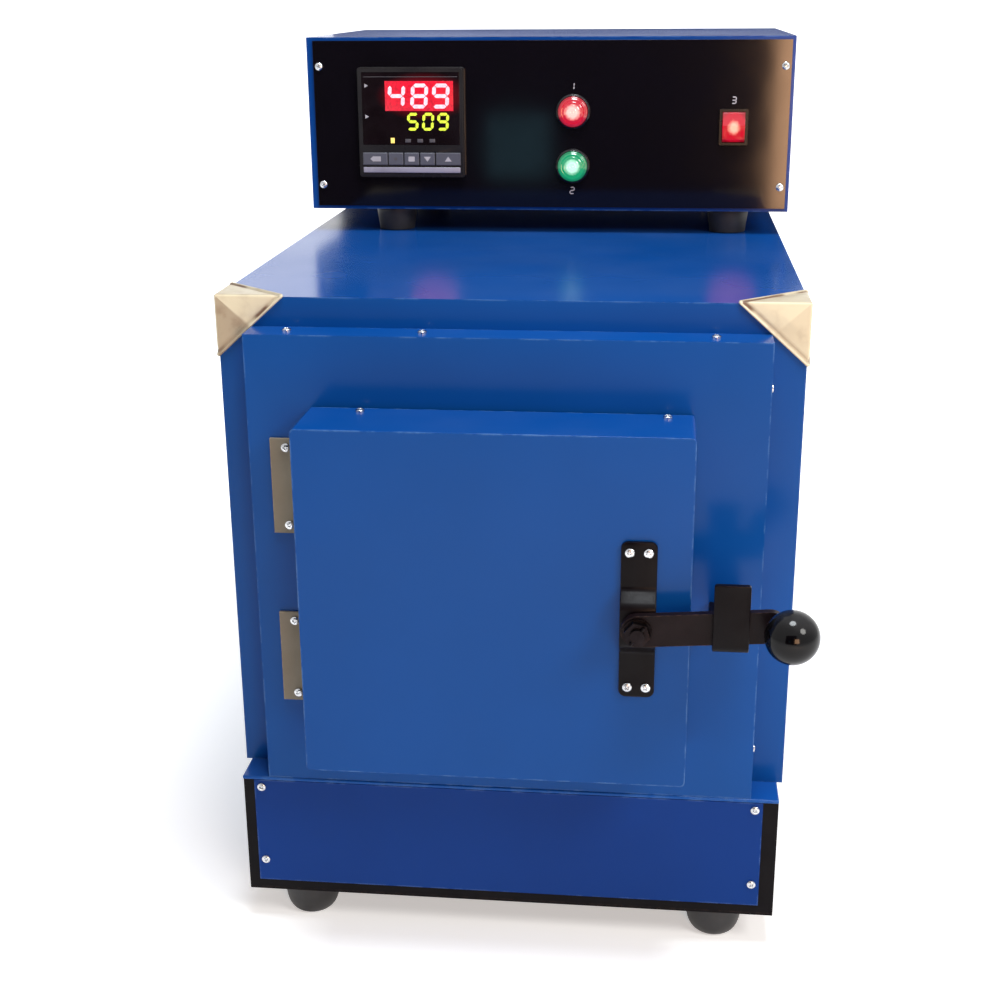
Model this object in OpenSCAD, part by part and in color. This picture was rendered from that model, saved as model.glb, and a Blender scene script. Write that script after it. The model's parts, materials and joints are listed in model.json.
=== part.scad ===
// Laboratory muffle furnace with a control box on its top.
// Millimetres, +Z up, front towards -Y. The origin is on the floor under the middle of the whole.

/* [Cabinet] */
// Width of the cabinet
cab_w = 428; // [400:1:520]
// Height of the cabinet above the plinth
cab_h = 378; // [370:1:460]
// Depth of the cabinet
cab_d = 600; // [580:1:700]
// Thickness of the cabinet's sheet steel
sheet_t = 2; // [1:0.5:3]
// How far the folded flanges of the cabinet's front reach behind the fascia
flange_lap = 4.5; // [3:0.5:10]
// Width of the folded flanges under and behind the cabinet
return_w = 18; // [10:1:24]
// Leg of a corner guard along the front edge
guard_x = 50; // [30:1:60]
// Leg of a corner guard down the corner and along the side
guard_z = 45; // [30:1:60]
// Thickness of a corner guard
guard_t = 2.2; // [1:0.2:2.4]
// Width of a corner guard's thicker edge
guard_rim = 2.4; // [1.5:0.1:4]

/* [Plinth] */
// How much narrower than the cabinet the plinth is, on each side
base_in = 4; // [0:1:14]
// Height of the plinth
base_h = 104; // [90:1:140]
// Width of the plinth frame's bars
bar_w = 24; // [22:1:30]
// Depth of the plinth frame's bars
bar_d = 14; // [8:1:20]
// Bare margin left of the front plate
plate_left = 9; // [4:1:14]
// Bare margin right of the front plate
plate_right = 12; // [4:1:14]
// Bare margin under the front plate
plate_low = 8; // [4:1:12]
// Height of a furnace foot
foot_h = 29; // [20:1:45]
// Diameter of a furnace foot at its top
foot_d = 44; // [36:1:50]
// Diameter of a furnace foot's tread
foot_tip = 27; // [20:1:34]
// Inset of the feet from the plinth's sides
foot_in_x = 45; // [28:1:80]
// Inset of the feet from the plinth's front and back
foot_in_y = 30; // [26:1:80]

/* [Fascia and chamber] */
// Width of the cabinet's front left bare on each side of the fascia
fascia_side = 25.5; // [19:0.5:29]
// Height of the cabinet's front left bare above the fascia
fascia_above = 22; // [14:1:38]
// How far the fascia stands out of the cabinet
fascia_out = 28; // [20:1:40]
// Inside width and height of the chamber
chamber = 152; // [120:1:160]
// Depth behind the bulkhead, for the coils' ends and the thermocouple's head
rear_space = 160; // [120:1:200]
// Thickness of the muffle's slabs
slab_t = 24; // [18:1:30]
// Width of the throat brick round the mouth
throat_w = 30; // [24:1:36]
// How much wider than the chamber the throat is, on each side
throat_gap = 4; // [3:0.5:6]
// Depth of the throat brick behind the cabinet's front
throat_in = 20; // [12:1:30]
// Thickness of the insulation behind the muffle
rear_wool = 91; // [60:1:110]
// Width of a groove for a heating coil
groove = 13; // [11:0.5:16]
// Distance between the grooves
groove_step = 46; // [30:1:55]
// Radius of a heating coil
coil_r = 4.6; // [3:0.2:5]
// Radius of the coil's wire
wire_r = 0.9; // [0.6:0.1:1.2]
// Distance from turn to turn
coil_pitch = 9; // [7:0.5:14]
// Length of thermocouple sheath inside the chamber
probe_in = 32; // [15:1:60]
// Radius of the thermocouple sheath
probe_r = 4; // [3:0.5:6]

/* [Door] */
// Bare width of the fascia left of the door
door_left = 46.5; // [44:0.5:56]
// Bare width of the fascia right of the door
door_right = 52.5; // [48:0.5:60]
// Bare height of the fascia above the door
door_above = 52; // [40:1:66]
// Bare height of the fascia below the door
door_below = 42; // [34:1:54]
// Thickness of the door
door_t = 59; // [50:1:70]
// Gap between the door and the fascia
door_gap = 3; // [2.5:0.1:4]
// Corner radius of the door's pan
door_r = 3.5; // [3:0.5:12]
// Depth of the folded rim of the door's liner
liner_rim = 12; // [9:1:20]
// How deep the liner is set into the door
liner_in = 3; // [2:0.5:5]
// Width of the door's rope seal
seal_w = 11; // [8:1:14]
// How far the plug reaches into the throat
plug_in = 22; // [12:1:30]
// Clearance round the plug's tip, inside the throat
plug_gap = 9; // [7:0.5:12]
// Packing between the plug's block and the door's top and bottom
plug_pack = 33; // [20:1:36]

/* [Hinges] */
// Height of a hinge
hinge_h = 73; // [60:1:90]
// Distance of the upper hinge's middle from the door's top
hinge_top = 61; // [50:1:72]
// Distance of the lower hinge's middle from the door's bottom
hinge_bottom = 64; // [50:1:76]
// Radius of a hinge's knuckle
knuckle_r = 5.5; // [4.5:0.1:6]
// Radius of a hinge's pin
hinge_pin_r = 3; // [2:0.1:3.5]
// Thickness of a hinge's leaves
leaf_t = 2.5; // [2:0.1:3]
// Width of the leaf on the fascia
leaf_w = 18.5; // [16:0.5:22]
// Depth of the leaf on the door's side
door_leaf = 38; // [25:1:45]
// Running clearance of the pins and of the latch's pivot
run_gap = 0.06; // [0.04:0.01:0.09]

/* [Latch] */
// Distance of the latch's pivot from the door's right side
latch_in = 36.5; // [28:0.5:46]
// How far below the door's middle the latch's pivot is
latch_drop = 1; // [-8:1:12]
// Width of the latch's strap
strap_w = 25; // [22:1:30]
// Height of the strap
strap_h = 116; // [100:1:130]
// Thickness of the strap
strap_t = 3; // [2:0.5:4]
// Corner radius of the strap's ends
strap_round = 4.5; // [1:0.5:6]
// Inner radius of the strap's bends
strap_bend = 2; // [0.5:0.5:3]
// How far the strap's middle is raised
strap_rise = 11; // [10:0.5:14]
// Height of the strap's raised flat
strap_flat = 28; // [24:1:32]
// Height of each of the strap's slopes
strap_slope = 9; // [6:1:12]
// Width of the lever's bar
lever_w = 23; // [19:1:24]
// Thickness of the lever's bar
lever_t = 6; // [5:0.5:8]
// How far right of the keeper the knob's stud is
stud_out = 17.5; // [16:0.5:26]
// Upward slope of the lever at rest
lever_tilt = 4; // [0:0.5:6]
// Radius of the pivot's bolt
pivot_r = 5; // [4:0.5:6]
// Diameter of the ball knob
ball_d = 36.6; // [30:0.2:40]
// Slope of the knob's neck towards the side
neck_lean = 25; // [15:1:30]
// Slope of the knob's neck upwards
neck_rise = 12; // [0:1:15]
// Length of the knob's neck
neck_l = 7; // [4:0.5:9]

/* [Keeper] */
// Distance of the keeper from the fascia's right side
keeper_in = 13.5; // [10:0.5:20]
// Width of the keeper
keeper_w = 24.5; // [20:0.5:26]
// Thickness of the keeper
keeper_t = 4; // [3:0.5:5]
// Inner radius of the keeper's bends
keeper_bend = 1.2; // [0.6:0.1:1.4]
// Height of the keeper's front lip
keeper_h = 46; // [36:1:50]
// Height of the keeper's foot on the fascia
keeper_foot = 18; // [16:1:30]
// Gap between the lever's bar and the keeper's lip
keeper_gap = 1; // [0.6:0.1:1.4]

/* [Control box] */
// How much wider than the cabinet the control box is
box_over = 4; // [-10:1:10]
// Height of the control box
box_h = 151; // [140:1:180]
// How far the box's rear is set in from the cabinet's rear
box_rear_in = 3; // [0:1:30]
// How far the box lies right of the furnace's middle
box_shift = 4; // [0:1:6]
// How far the box's front is set back from the cabinet's front
box_back = 315; // [290:1:318]
// Thickness of the box's sheet
box_t = 1.5; // [1:0.1:2.5]
// Thickness of the front panel
panel_t = 2; // [1.5:0.1:3]
// Bare strip of the box left of the panel
panel_left = 6; // [2:0.5:8]
// Bare strip of the box right of the panel
panel_right = 3; // [2:0.5:8]
// Bare strip of the box over and under the panel
panel_edge = 3; // [2:0.5:5]
// Height of the box's feet
box_foot_h = 21; // [12:1:30]
// Diameter of the box's feet
box_foot_d = 37; // [26:1:40]
// Distance of the left feet's middles from the box's left side
box_foot_left = 74; // [40:1:90]
// Distance of the right feet's middles from the box's right side
box_foot_right = 52; // [40:1:90]
// Inset of the box's feet from its front and back
box_foot_y = 25; // [22:1:50]

/* [Controls] */
// Side of the controller's bezel
pid = 96; // [90:1:100]
// Distance of the controller's middle from the box's left side
pid_in = 94.5; // [84:0.5:104]
// How far the bezel stands out of the panel
pid_out = 7; // [5:0.5:10]
// Depth of the controller's case behind the panel
pid_case = 78; // [60:1:110]
// Height of a key
key_h = 11.6; // [9:0.1:12.6]
// Gap round a key
key_gap = 0.25; // [0.2:0.01:0.3]
// How far a key stands out of the bezel
key_out = 1.3; // [1.1:0.1:1.6]
// How far a key goes in
key_travel = 1; // [0.6:0.1:1.1]
// How far the lamps lie right of the box's middle
lamp_x = 23.3; // [10:0.5:40]
// Distance between the lamps' middles
lamp_step = 47.5; // [40:0.5:60]
// Outer radius of a lamp's bezel
lamp_r = 15.2; // [14.8:0.1:17]
// Radius of a lamp's lens
lens_r = 13.2; // [10:0.1:13.2]
// Radius of a lamp's barrel behind the panel
barrel_r = 11; // [8:0.1:12]
// Distance of the switch's middle from the box's right side
switch_in = 51; // [40:0.5:64]
// Width of the switch's frame
switch_w = 25; // [23:0.5:26]
// Height of the switch's frame
switch_h = 31; // [29:0.5:33]
// Tilt of the rocker to each side
rocker_tilt = 12; // [8:1:14]

/* [Hidden] */
$fn = 48;
air = 0.3;                                   // clearance between loose pieces

// Sideways, the cabinet is centred. Depths are counted from the cabinet's front, y0.
grommet_out = 6;
lip_y = -(fascia_out + door_gap + door_t + strap_t + strap_rise + 2 + lever_t + keeper_gap);
neck_y = lip_y - keeper_t - 1;               // where the knob's neck starts, ahead of the lip
ball_r = ball_d / 2;
ball_flat = sqrt(ball_r * ball_r - 100);     // the ball's middle from its flat of radius 10
reach = (neck_l + ball_flat) * cos(neck_lean) * cos(neck_rise);
front_reach = -neck_y + reach + ball_r;
y0 = (front_reach - cab_d - grommet_out) / 2;

base_w = cab_w - 2 * base_in;
fascia_w = cab_w - 2 * fascia_side;
fascia_h = cab_h - fascia_above;
flange_w = fascia_side + flange_lap;
door_w = fascia_w - door_left - door_right;
door_h = fascia_h - door_above - door_below;
z_base = foot_h;
z_cab = foot_h + base_h;                     // the plinth's top, where the cabinet stands
z_top = z_cab + cab_h;
z_mid = z_cab + door_below + door_h / 2;     // the door and the chamber share one middle
pan_t = 3;                                   // the floor pan, the plinth's top sheet
z_frame = z_cab - pan_t;
fascia_top = z_cab + fascia_h;
half = chamber / 2;
shell_half = half + slab_t;
throat_half = half + throat_gap;
throat_out = throat_half + throat_w;
muffle_y = throat_in;                        // front of the muffle
head_y = cab_d - rear_space;                 // front of the bulkhead
wool_y = head_y - rear_wool;                 // front of the rear insulation
back_y = wool_y - slab_t;                    // front of the muffle's rear slab
probe_back = 24;                             // how far the sheath reaches behind the bulkhead
bead_l = 22;                                 // a ceramic bead behind the bulkhead
lamp_l = 34;                                 // a lamp's barrel behind the panel
cord_in = 96;                                // the box's grommets, from its left side
cord_step = 50;
cord_up = 38;
supply_in = 94;                              // the cabinet's grommet, from its left side
supply_up = 40;
supply_x = -cab_w / 2 + supply_in;
probe_z = z_mid + groove_step * 0.9;
inner_w = cab_w / 2 - sheet_t;               // half the cabinet's width inside
groove_d = groove;
groove_mid = half + groove_d / 2;
groove_end = 10;
lead_r = 1.5;

door_l = -fascia_w / 2 + door_left;          // the door's left side
door_mx = door_l + door_w / 2;
door_rear = -fascia_out - door_gap;
door_front = door_rear - door_t;
z_door = z_mid;
liner_y = door_rear - liner_in;              // rear face of the liner
shell_t = sheet_t;
screw_r = 3.3;
shank_r = 1.9;

axis_x = door_l - knuckle_r - 0.5;           // the hinge's axis
axis_y = -fascia_out - knuckle_r - 0.5;

latch_x = door_l + door_w - latch_in;
z_latch = z_door - latch_drop;
keeper_x = fascia_w / 2 - keeper_in - keeper_w;
lever_l = keeper_x + keeper_w + stud_out - latch_x;
plateau_y = door_front - strap_rise;         // rear face of the strap's raised flat
bar_rear = plateau_y - strap_t - 2;
bar_front = bar_rear - lever_t;
washer_r = pivot_r + 5;
floor_z = z_latch - lever_w / 2 / cos(lever_tilt) + (keeper_x - latch_x) * tan(lever_tilt) - air;

box_y = box_back + panel_t;                  // front of the box's sheet
z_box = z_top + box_foot_h;
box_w = cab_w + box_over;
box_l = box_shift - box_w / 2;
box_r = box_l + box_w;
box_rear = cab_d - box_rear_in;
pid_mx = box_l + pid_in;
pid_mz = z_box + box_h / 2 + 2;
pid_face = box_back - pid_out;
pid_half = pid / 2;
case_half = pid_half - 2.4;
win_w = pid - 8;
win_h = pid * 0.66;
win_z = pid_mz + pid_half - 4 - win_h / 2;
win_t = 1.5;
key_z = pid_mz - pid_half + 4 + 5.5 + 1.2 + key_h / 2;
key_band = pid - 6;
side_key = key_band * 0.26;
mid_key = (key_band - 2 * side_key) / 3;
key_w = [side_key, mid_key, mid_key, mid_key, side_key];
key_x = [-key_band / 2 + side_key / 2, -mid_key, 0, mid_key, key_band / 2 - side_key / 2];
key_body = 2.4;                              // how deep a key sits in its pocket
lamp_mx = box_shift + lamp_x;
lamp_mz = z_box + 0.42 * box_h;
switch_mx = box_r - switch_in;
switch_mz = z_box + box_h / 2 - 1.5;
wall = 0.9;
body_w = switch_w - 3.2;                     // the switch's body behind its frame
body_h = switch_h - 2.6;
rocker_r = body_h / 2 - wall - 0.4;
rocker_w = body_w - 2 * wall - 0.6;
rocker_y = box_back + 1;                     // the rocker's axis

// A box given by its two corners; y counts from the cabinet's front.
module block(lo, hi) {
  translate([lo[0], y0 + lo[1], lo[2]]) cube([hi[0] - lo[0], hi[1] - lo[1], hi[2] - lo[2]]);
}

// A cylinder along y, from depth a to depth b.
module rod_y(x, z, r, a, b) {
  translate([x, y0 + a, z]) rotate([-90, 0, 0]) cylinder(r = r, h = b - a);
}

// A cylinder along x.
module rod_x(y, z, r, a, b) {
  translate([a, y0 + y, z]) rotate([0, 90, 0]) cylinder(r = r, h = b - a);
}

// An outline in the XZ plane, given round (0, 0), pushed from depth a to depth b.
module sheet_y(x, z, a, b) {
  translate([x, y0 + b, z]) rotate([90, 0, 0]) linear_extrude(b - a) children();
}

// A side outline of points [y, z], pushed across from x = a to x = b.
module across(a, b) {
  translate([a, y0, 0]) rotate([90, 0, 90]) linear_extrude(b - a) children();
}

// A turned piece whose profile is [radius, height], its top pointing to -y from depth y.
module turned_y(x, y, z) {
  translate([x, y0 + y, z]) rotate([90, 0, 0]) rotate_extrude() children();
}

// Rounds an outline's outer corners by r and its inner corners by q.
module bends(r, q) {
  offset(r = r) offset(delta = -r) offset(r = -q) offset(delta = q) children();
}

module round_rect(w, h, r) {
  offset(r = r, $fn = 32) square([w - 2 * r, h - 2 * r], center = true);
}

// A domed screw head with its shank, the head pointing to -y from the face at depth y.
module screw_y(x, y, z, l) {
  turned_y(x, y, z)
    polygon([[0, -l], [shank_r, -l], [shank_r, 0], [screw_r, 0], [screw_r, 0.9],
      [screw_r * 0.82, 1.7], [screw_r * 0.45, 2.15], [0, 2.3]]);
}

// The same screw with its head up, to the right, to the left or to the back.
module screw_to(dir, l) {
  turn = dir == "up" ? [0, 0, 0] : dir == "right" ? [0, 90, 0] : dir == "left" ? [0, -90, 0] : [-90, 0, 0];
  rotate(turn) rotate_extrude()
    polygon([[0, -l], [shank_r, -l], [shank_r, 0], [screw_r, 0], [screw_r, 0.9],
      [screw_r * 0.82, 1.7], [screw_r * 0.45, 2.15], [0, 2.3]]);
}

hole_r = shank_r + 0.15;

// The plinth.

module base_frame() {
  w = base_w / 2;
  front = -fascia_out + sheet_t;
  color([0.03, 0.03, 0.035]) difference() {
    block([-w, front, z_base + sheet_t], [w, front + bar_d, z_frame]);
    block([-w + bar_w, front - 1, z_base + sheet_t + bar_w],
          [w - bar_w, front + bar_d + 1, z_frame - bar_w]);
    for (p = plate_screws) rod_y(p[0], p[1], hole_r, front - 1, front + 9);
  }
}

plate_l = -base_w / 2 + plate_left;
plate_r = base_w / 2 - plate_right;
plate_lo = z_base + sheet_t + plate_low;
plate_hi = z_frame - 0.5;
plate_screws = [for (x = [plate_l + 6, plate_r - 6], z = [plate_lo + 19, plate_hi - 6]) [x, z]];

module base_skirt() {
  w = base_w / 2;
  front = -fascia_out + sheet_t + bar_d;
  color([0.07, 0.2, 0.47]) difference() {
    block([-w, front, z_base + sheet_t], [w, cab_d, z_frame]);
    block([-w + sheet_t, front - 1, z_base], [w - sheet_t, cab_d - sheet_t, z_frame + 1]);
  }
}

module base_bottom() {
  color([0.05, 0.05, 0.06]) difference() {
    block([-base_w / 2, -fascia_out + sheet_t, z_base], [base_w / 2, cab_d, z_base + sheet_t]);
    for (p = foot_places) translate([p[0], y0 + p[1], z_base - 1]) cylinder(r = 3.2, h = sheet_t + 2);
  }
}

module base_front_plate() {
  color([0.08, 0.22, 0.52]) difference() {
    block([plate_l, -fascia_out, plate_lo], [plate_r, -fascia_out + sheet_t, plate_hi]);
    for (p = plate_screws) rod_y(p[0], p[1], hole_r, -fascia_out - 1, -fascia_out + sheet_t + 1);
  }
}

module base_screws() {
  color([0.75, 0.76, 0.78]) for (p = plate_screws) screw_y(p[0], -fascia_out, p[1], 8);
}

foot_places = [for (x = [-1, 1], y = [-fascia_out + foot_in_y, cab_d - foot_in_y])
  [x * (base_w / 2 - foot_in_x), y]];

// A domed rubber foot with a fixing stud that goes up through the plinth's bottom.
module furnace_feet() {
  a = foot_d / 2;
  b = foot_tip / 2;
  rim = foot_h * 0.38;
  color([0.03, 0.03, 0.03]) for (p = foot_places) translate([p[0], y0 + p[1], 0])
    rotate_extrude() polygon(concat([[0, 2.5], [6, 2.5], [6, 0], [b, 0]],
      [for (t = [10:16:90]) [b + (a - b) * sin(t), (foot_h - rim) * (1 - cos(t))]],
      [[a, foot_h], [3, foot_h], [3, foot_h + 8], [0, foot_h + 8]]));
}

module floor_pan() {
  color([0.09, 0.26, 0.58])
    block([-base_w / 2, -fascia_out - 1, z_frame], [base_w / 2, cab_d, z_cab]);
}

// The cabinet.

module cabinet_wrap() {
  w = cab_w / 2;
  d = cab_d - sheet_t;
  color([0.1, 0.3, 0.62]) difference() {
    union() {
      difference() {
        block([-w, 0, z_cab], [w, d, z_top]);
        block([-w + sheet_t, -1, z_cab - 1], [w - sheet_t, d + 1, z_top - sheet_t]);
      }
      difference() {
        block([-w, 0, z_cab], [w, sheet_t, z_top]);
        block([-w + flange_w, -1, z_cab - 1], [w - flange_w, sheet_t + 1, z_top - flange_w]);
      }
      difference() {
        block([-w, d - sheet_t, z_cab], [w, d, z_top]);
        block([-w + return_w, d - 9, z_cab - 1], [w - return_w, d + 9, z_top - return_w]);
      }
      for (s = [-1, 1]) block([s > 0 ? w - return_w : -w, 0, z_cab],
                              [s > 0 ? w : -w + return_w, d, z_cab + sheet_t]);
    }
    for (p = cover_holes) rod_y(p[0], p[1], hole_r, d - 9, d + 9);
  }
}

cover_holes = [for (x = [-1, 1], z = [z_cab + 40, z_top - 40]) [x * (cab_w / 2 - return_w / 2), z]];

module rear_bulkhead() {
  w = inner_w - air;
  color([0.6, 0.62, 0.64]) difference() {
    block([-w, head_y, z_cab + sheet_t + air], [w, head_y + sheet_t, z_top - sheet_t - air]);
    for (p = leads) rod_y(p[0], p[1], lead_r + 2, head_y - 1, head_y + sheet_t + 1);
    rod_y(0, probe_z, probe_r + air, head_y - 1, head_y + sheet_t + 1);
  }
}

// The cover behind the cabinet, with rows of cooling slots.
module rear_cover() {
  w = cab_w / 2;
  color([0.1, 0.28, 0.6]) difference() {
    block([-w + 0.5, cab_d - sheet_t, z_cab + 0.5], [w - 0.5, cab_d, z_top - 0.5]);
    for (x = [-1, 1], i = [0:7]) block([x * 85 - 40, cab_d - 9, z_mid - 90 + i * 26],
                                       [x * 85 + 40, cab_d + 1, z_mid - 84 + i * 26]);
    for (p = cover_holes) rod_y(p[0], p[1], hole_r, cab_d - 9, cab_d + 1);
    rod_y(supply_x, z_cab + supply_up, 8.2, cab_d - 9, cab_d + 1);
  }
}

// The fascia and the corner guards.

fascia_top_screws = [-fascia_w / 2 + 29.5, -60, fascia_w / 2 - 39.5];
fascia_side_screws = [z_cab + 36, fascia_top - 36];

module front_fascia() {
  w = fascia_w / 2;
  color([0.11, 0.32, 0.66]) difference() {
    block([-w, -fascia_out, z_cab], [w, 0, fascia_top]);
    block([-w + sheet_t, -fascia_out + sheet_t, z_cab + sheet_t],
          [w - sheet_t, 1, fascia_top - sheet_t]);
    block([-throat_out - 0.5, -fascia_out - 1, z_mid - throat_out - 0.5],
          [throat_out + 0.5, 1, z_mid + throat_out + 0.5]);
    for (x = fascia_top_screws)
      translate([x, y0 - fascia_out / 2, fascia_top - 9]) cylinder(r = hole_r, h = 19);
    for (z = fascia_side_screws, s = [-1, 1])
      rod_x(-fascia_out / 2, z, hole_r, s > 0 ? w - 9 : -w - 1, s > 0 ? w + 1 : -w + 9);
    for (p = leaf_holes) rod_y(p[0], p[1], hole_r, -fascia_out - 1, -fascia_out + 9);
    for (p = keeper_holes) rod_y(p[0], p[1], hole_r, -fascia_out - 1, -fascia_out + 9);
  }
}

// The screws in the fascia's edges, the hinges' plates, the keeper's foot and the rear cover.
module cabinet_screws() {
  color([0.75, 0.76, 0.78]) {
    for (x = fascia_top_screws) translate([x, y0 - fascia_out / 2, fascia_top]) screw_to("up", 7);
    for (z = fascia_side_screws, s = [-1, 1])
      translate([s * fascia_w / 2, y0 - fascia_out / 2, z]) screw_to(s > 0 ? "right" : "left", 7);
    for (p = leaf_holes) screw_y(p[0], -fascia_out - leaf_t, p[1], 10);
    for (p = keeper_holes) screw_y(p[0], -fascia_out - keeper_t, p[1], 10);
    for (p = cover_holes) translate([p[0], y0 + cab_d, p[1]]) screw_to("back", 7);
  }
}

// The space over a top front corner up to a plane through three points, reach beyond each leg.
module corner_space(reach) {
  far = 2 * guard_t;
  polyhedron(
    points = [[far, -far, far], [-guard_x - reach, -far, far], [far, guard_z + reach, far],
      [far, -far, -guard_z - reach]],
    faces = [[0, 1, 2], [0, 2, 3], [0, 3, 1], [1, 3, 2]]);
}

// A plate of thickness t over the cabinet's corner, larger than the guard.
module corner_plate(t) {
  big = guard_x + guard_z;
  difference() {
    translate([-big, -t, -big]) cube([big + t, big + t, big + t]);
    translate([-big - 9, 0, -big - 9]) cube([big + 9, big + 9, big + 9]);
  }
}

// A pressed guard over a top front corner: three triangles that meet there, with a thicker edge.
module guard(s) {
  mirror([s > 0 ? 0 : 1, 0, 0]) translate([cab_w / 2, y0, z_top]) {
    intersection() {
      union() {
        corner_plate(guard_t * 0.7);
        difference() {
          corner_plate(guard_t);
          corner_space(-guard_rim * 1.6);
        }
      }
      corner_space(0);
    }
  }
}

module corner_guard_left() { color([0.86, 0.77, 0.58]) guard(-1); }
module corner_guard_right() { color([0.86, 0.77, 0.58]) guard(1); }

// The chamber and what is packed round it.

module throat_brick() {
  a = throat_half;
  color([0.86, 0.83, 0.76]) difference() {
    block([-throat_out, -fascia_out, z_mid - throat_out], [throat_out, throat_in, z_mid + throat_out]);
    block([-a, -fascia_out - 1, z_mid - a], [a, throat_in + 1, z_mid + a]);
  }
}

module slab(lo, hi) {
  color([0.9, 0.88, 0.82]) block(lo, hi);
}

module hearth_slab() {
  slab([-shell_half, muffle_y, z_mid - shell_half], [shell_half, back_y, z_mid - half]);
}

module muffle_roof() {
  slab([-shell_half, muffle_y, z_mid + half], [shell_half, back_y, z_mid + shell_half]);
}

rows = [for (i = [-1:1]) z_mid + i * groove_step];

// A side slab, grooved on its inner face for three heating coils.
module side_slab(s) {
  color([0.9, 0.88, 0.82]) difference() {
    block([s > 0 ? half : -shell_half, muffle_y, z_mid - half],
          [s > 0 ? shell_half : -half, back_y, z_mid + half]);
    for (z = rows)
      block([s > 0 ? half - 1 : -half - groove_d, muffle_y + groove_end, z - groove / 2],
            [s > 0 ? half + groove_d : -half + 1, back_y + 1, z + groove / 2]);
  }
}

module muffle_side_left() { side_slab(-1); }
module muffle_side_right() { side_slab(1); }

// Where the coils' leads go through the rear: at the top of the last turn.
leads = [for (s = [-1, 1], z = rows) [s * groove_mid, z + coil_r]];

module muffle_back() {
  color([0.9, 0.88, 0.82]) difference() {
    block([-shell_half, back_y, z_mid - shell_half], [shell_half, wool_y, z_mid + shell_half]);
    for (p = leads) rod_y(p[0], p[1], lead_r + 0.5, back_y - 1, wool_y + 1);
    rod_y(0, probe_z, probe_r + air, back_y - 1, wool_y + 1);
  }
}

// Points of a helix along y, and a wire of three sides swept along it.
coil_start = muffle_y + groove_end + wire_r + 0.5;
coil_end = back_y - wire_r - 1;
turns = floor((coil_end - coil_start) / coil_pitch);
function helix(k, n, r) = let(a = 360 * turns * k / n)
  [r * sin(a), coil_start + (coil_end - coil_start) * k / n, r * cos(a)];

module coil(x, z) {
  n = turns * 6;
  ring = [for (k = [0:n], j = [0:2]) let(a = 360 * turns * k / n, b = 120 * j,
      r = coil_r + wire_r * cos(b)) [r * sin(a), helix(k, n, 1)[1] + wire_r * sin(b), r * cos(a)]];
  side = [for (k = [0:n - 1], j = [0:2]) let(p = 3 * k + j, q = 3 * k + (j + 1) % 3)
    each [[p, q, p + 3], [q, q + 3, p + 3]]];
  translate([x, y0, z]) polyhedron(points = ring,
    faces = concat(side, [[2, 1, 0], [3 * n, 3 * n + 1, 3 * n + 2]]));
}

module coils(s) {
  color([0.55, 0.5, 0.46]) for (z = rows) {
    coil(s * groove_mid, z);
    rod_y(s * groove_mid, z + coil_r, lead_r, coil_end + wire_r + 0.1, head_y + 34);
  }
}

module heating_coils_left() { coils(-1); }
module heating_coils_right() { coils(1); }

module wool(lo, hi) { color([0.93, 0.93, 0.9]) block(lo, hi); }

module insulation_floor() {
  wool([-inner_w + air, muffle_y, z_cab + sheet_t], [inner_w - air, head_y, z_mid - shell_half]);
}

module insulation_roof() {
  wool([-inner_w + air, muffle_y, z_mid + shell_half], [inner_w - air, head_y, z_top - sheet_t - air]);
}

module insulation_sides() {
  for (s = [-1, 1]) wool([s > 0 ? shell_half : -inner_w + air, muffle_y, z_mid - shell_half],
                         [s > 0 ? inner_w - air : -shell_half, head_y, z_mid + shell_half]);
}

module insulation_rear() {
  difference() {
    wool([-shell_half, wool_y, z_mid - shell_half], [shell_half, head_y, z_mid + shell_half]);
    for (p = leads) rod_y(p[0], p[1], lead_r + 0.5, wool_y - 1, head_y + 1);
    rod_y(0, probe_z, probe_r + air, wool_y - 1, head_y + 1);
  }
}

// Ceramic beads that carry the leads through the bulkhead.
module coil_beads() {
  a = lead_r + 0.1;
  l = bead_l;
  m = bead_l / 2;
  color([0.95, 0.94, 0.9]) for (p = leads) turned_y(p[0], head_y + sheet_t + l, p[1])
    polygon([[a, 0], [6, 0], [7, 1.5], [7, m - 3], [5.5, m - 1], [5.5, m + 1], [7, m + 3], [7, l],
      [lead_r + 1.8, l], [lead_r + 1.8, l + sheet_t], [a, l + sheet_t]]);
}

// A closed ceramic sheath that reaches through the rear into the chamber.
module thermocouple() {
  l = head_y + sheet_t + probe_back - (back_y - probe_in);
  color([0.9, 0.87, 0.8]) turned_y(0, head_y + sheet_t + probe_back, probe_z)
    polygon(concat([[0, 0], [probe_r, 0]],
      [for (t = [0:15:90]) [probe_r * cos(t), l - probe_r + probe_r * sin(t)]]));
}

module thermocouple_head() {
  a = probe_r + 0.1;
  l = 58;
  bore = l - probe_back - 0.2;               // the sheath's end stays just off the bore's
  color([0.7, 0.71, 0.73]) turned_y(0, head_y + sheet_t + l, probe_z)
    polygon([[0, 0], [19, 0], [21, 2], [21, 8], [22.5, 8.5], [22.5, 12], [21, 12.5], [21, 28],
      [18, 31], [10, 33], [10, l - 6], [13, l - 6], [13, l], [a, l], [a, bore], [0, bore]]);
}

// The hinges.

hinge_mids = [z_door + door_h / 2 - hinge_top, z_door - door_h / 2 + hinge_bottom];
gap_z = 0.3;                                 // play between two knuckles
third = hinge_h / 3;
leaf_l = axis_x - knuckle_r - leaf_w;        // left edge of the leaf on the fascia
leaf_holes = [for (m = hinge_mids, dz = [-0.41, 0.41])
  [leaf_l + 0.64 * leaf_w, m + dz * hinge_h]];
side_holes = [for (m = hinge_mids, dz = [-0.3, 0.3]) [axis_y - door_leaf * 0.8, m + dz * hinge_h]];

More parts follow.
